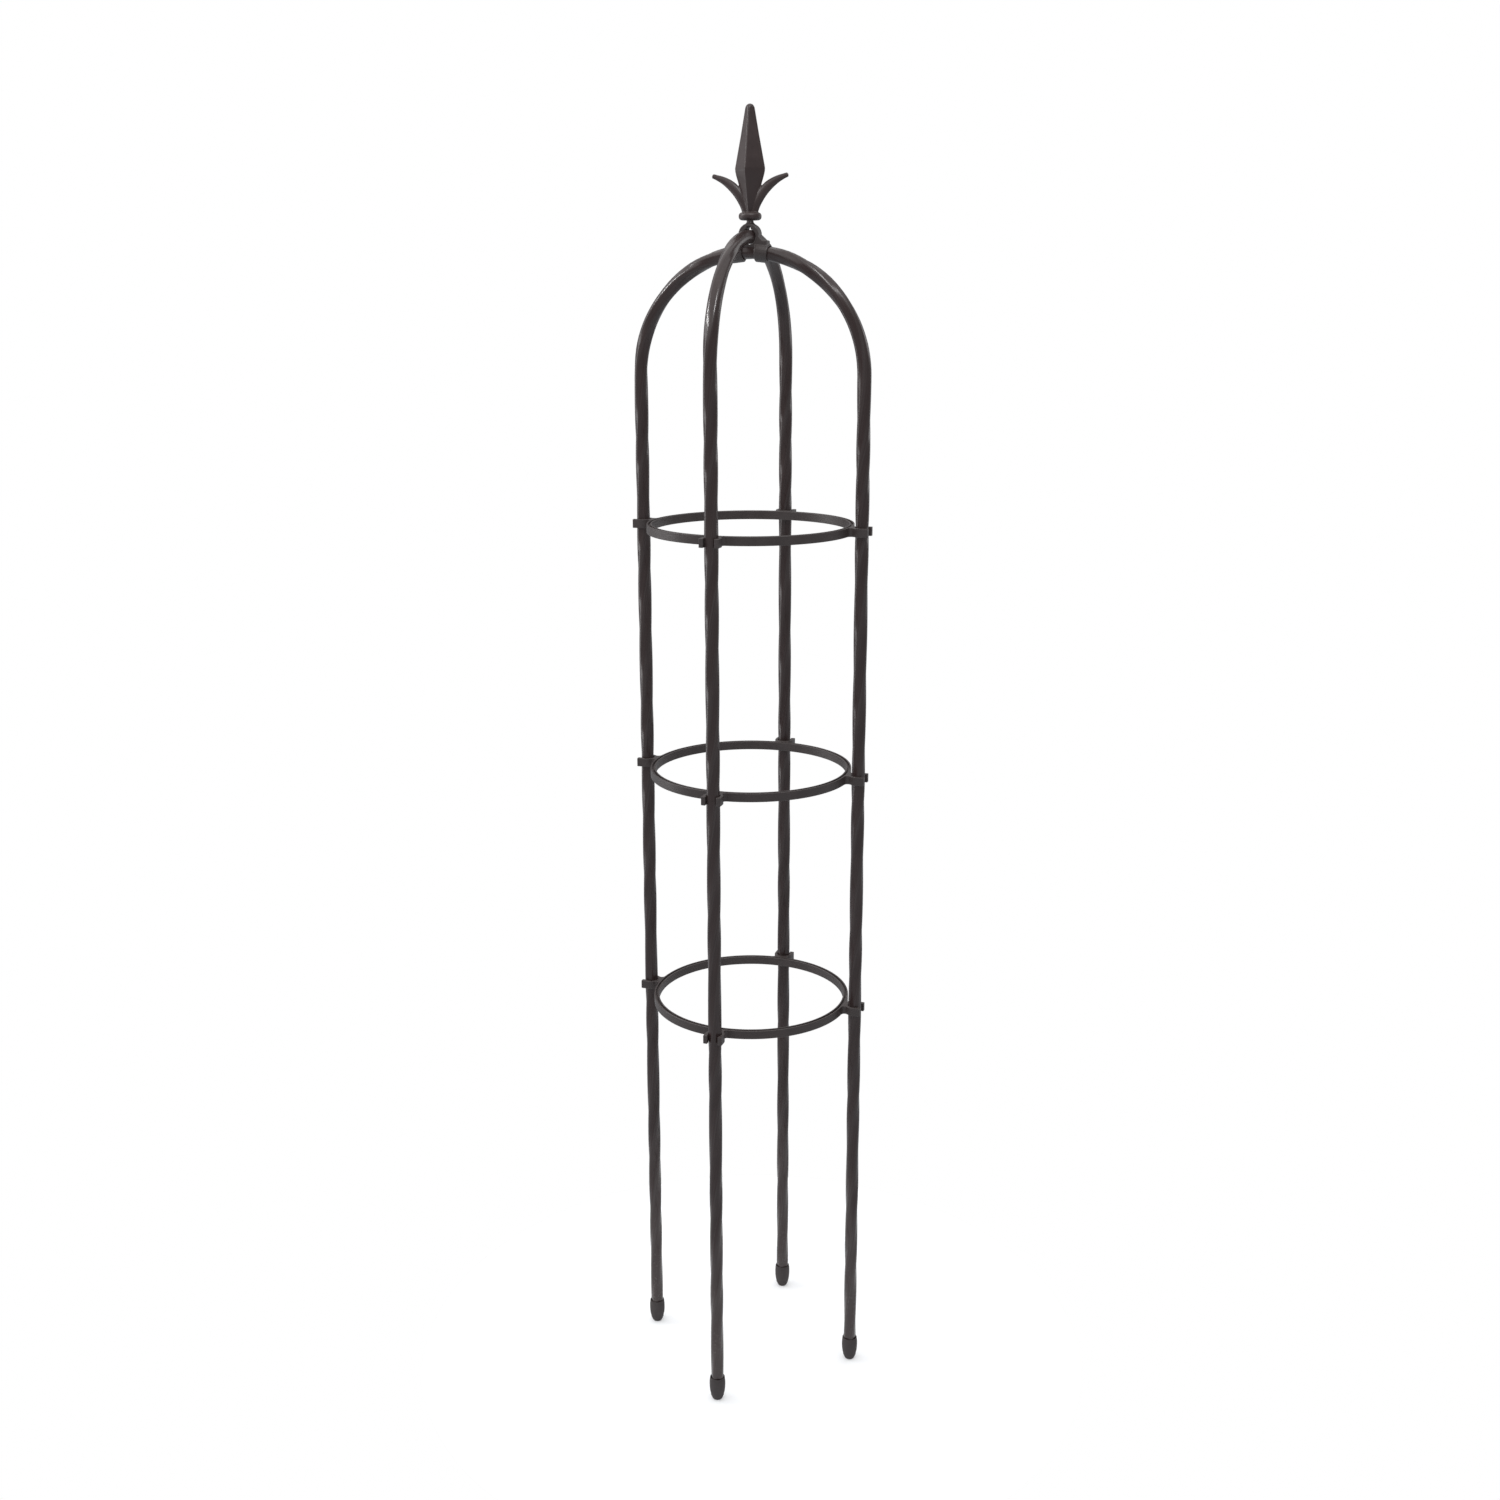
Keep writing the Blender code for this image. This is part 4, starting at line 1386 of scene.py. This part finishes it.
def add_lights(stage):
    sun = bpy.data.lights.new("overhead_daylight", "SUN")
    sun.energy = stage.daylight
    sun.angle = math.radians(SUN_ANGLE)
    lamp = add_object("overhead_daylight", sun)
    lamp.matrix_world = aimed(SUN_PLACE, (0.0, 0.0, 0.0))
    add_area("left_soft_box", LEFT_BOX, stage.side_box)
    add_area("left_strip_light", LEFT_STRIP, stage.strips, False)
    add_area("right_strip_light", RIGHT_STRIP, stage.strips, False)
    add_area("back_soft_box", BACK_BOX, stage.back_box)


def add_camera(stage):
    camera = bpy.data.cameras.new("studio_camera")
    camera.sensor_width = CAMERA_SENSOR
    camera.lens = stage.lens
    camera.dof.use_dof = False
    azimuth = math.radians(CAMERA_AZIMUTH)
    around = Matrix.Rotation(azimuth, 4, "Z")
    place = around @ Vector((0.0, -CAMERA_DISTANCE, CAMERA_HEIGHT))
    heading = Matrix.Rotation(math.radians(CAMERA_AZIMUTH + CAMERA_TURN), 4, "Z")
    tilt = Matrix.Rotation(math.radians(90.0 - CAMERA_DROP), 4, "X")
    roll = Matrix.Rotation(math.radians(CAMERA_ROLL), 4, "Z")
    thing = add_object("studio_camera", camera)
    thing.matrix_world = Matrix.Translation(place) @ heading @ tilt @ roll
    bpy.context.scene.camera = thing
    bpy.context.scene.view_settings.view_transform = "Standard"


class OBELISK_PT_panel(bpy.types.Panel):
    """Sizes, colours and buttons of the obelisk"""

    bl_label = "Garden Obelisk"
    bl_idname = "OBELISK_PT_panel"
    bl_space_type = "VIEW_3D"
    bl_region_type = "UI"
    bl_category = "Obelisk"

    def draw(self, context):
        settings = context.scene.obelisk
        for group in ("tube", "ring", "bracket", "finial", "cap", "finish", "stage"):
            box = self.layout.box()
            box.label(text=group.capitalize())
            values = getattr(settings, group)
            for name in values.__annotations__:
                box.prop(values, name)
        for operator in OPERATORS:
            self.layout.operator(operator.bl_idname)


SETTINGS = (TubeSettings, RingSettings, BracketSettings, FinialSettings, CapSettings, FinishSettings,
            StageSettings, ObeliskSettings)
OPERATORS = (OBELISK_OT_tubes, OBELISK_OT_rings, OBELISK_OT_crown_bracket, OBELISK_OT_finial,
             OBELISK_OT_foot_caps, OBELISK_OT_joint_sleeves, OBELISK_OT_stage)
CLASSES = SETTINGS + OPERATORS + (OBELISK_PT_panel,)


def register():
    for item in CLASSES:
        bpy.utils.register_class(item)
    bpy.types.Scene.obelisk = PointerProperty(type=ObeliskSettings)


def unregister():
    del bpy.types.Scene.obelisk
    for item in reversed(CLASSES):
        bpy.utils.unregister_class(item)


def main():
    register()
    for operator in OPERATORS:
        family, name = operator.bl_idname.split(".")
        getattr(getattr(bpy.ops, family), name)()


if __name__ == "__main__":
    main()
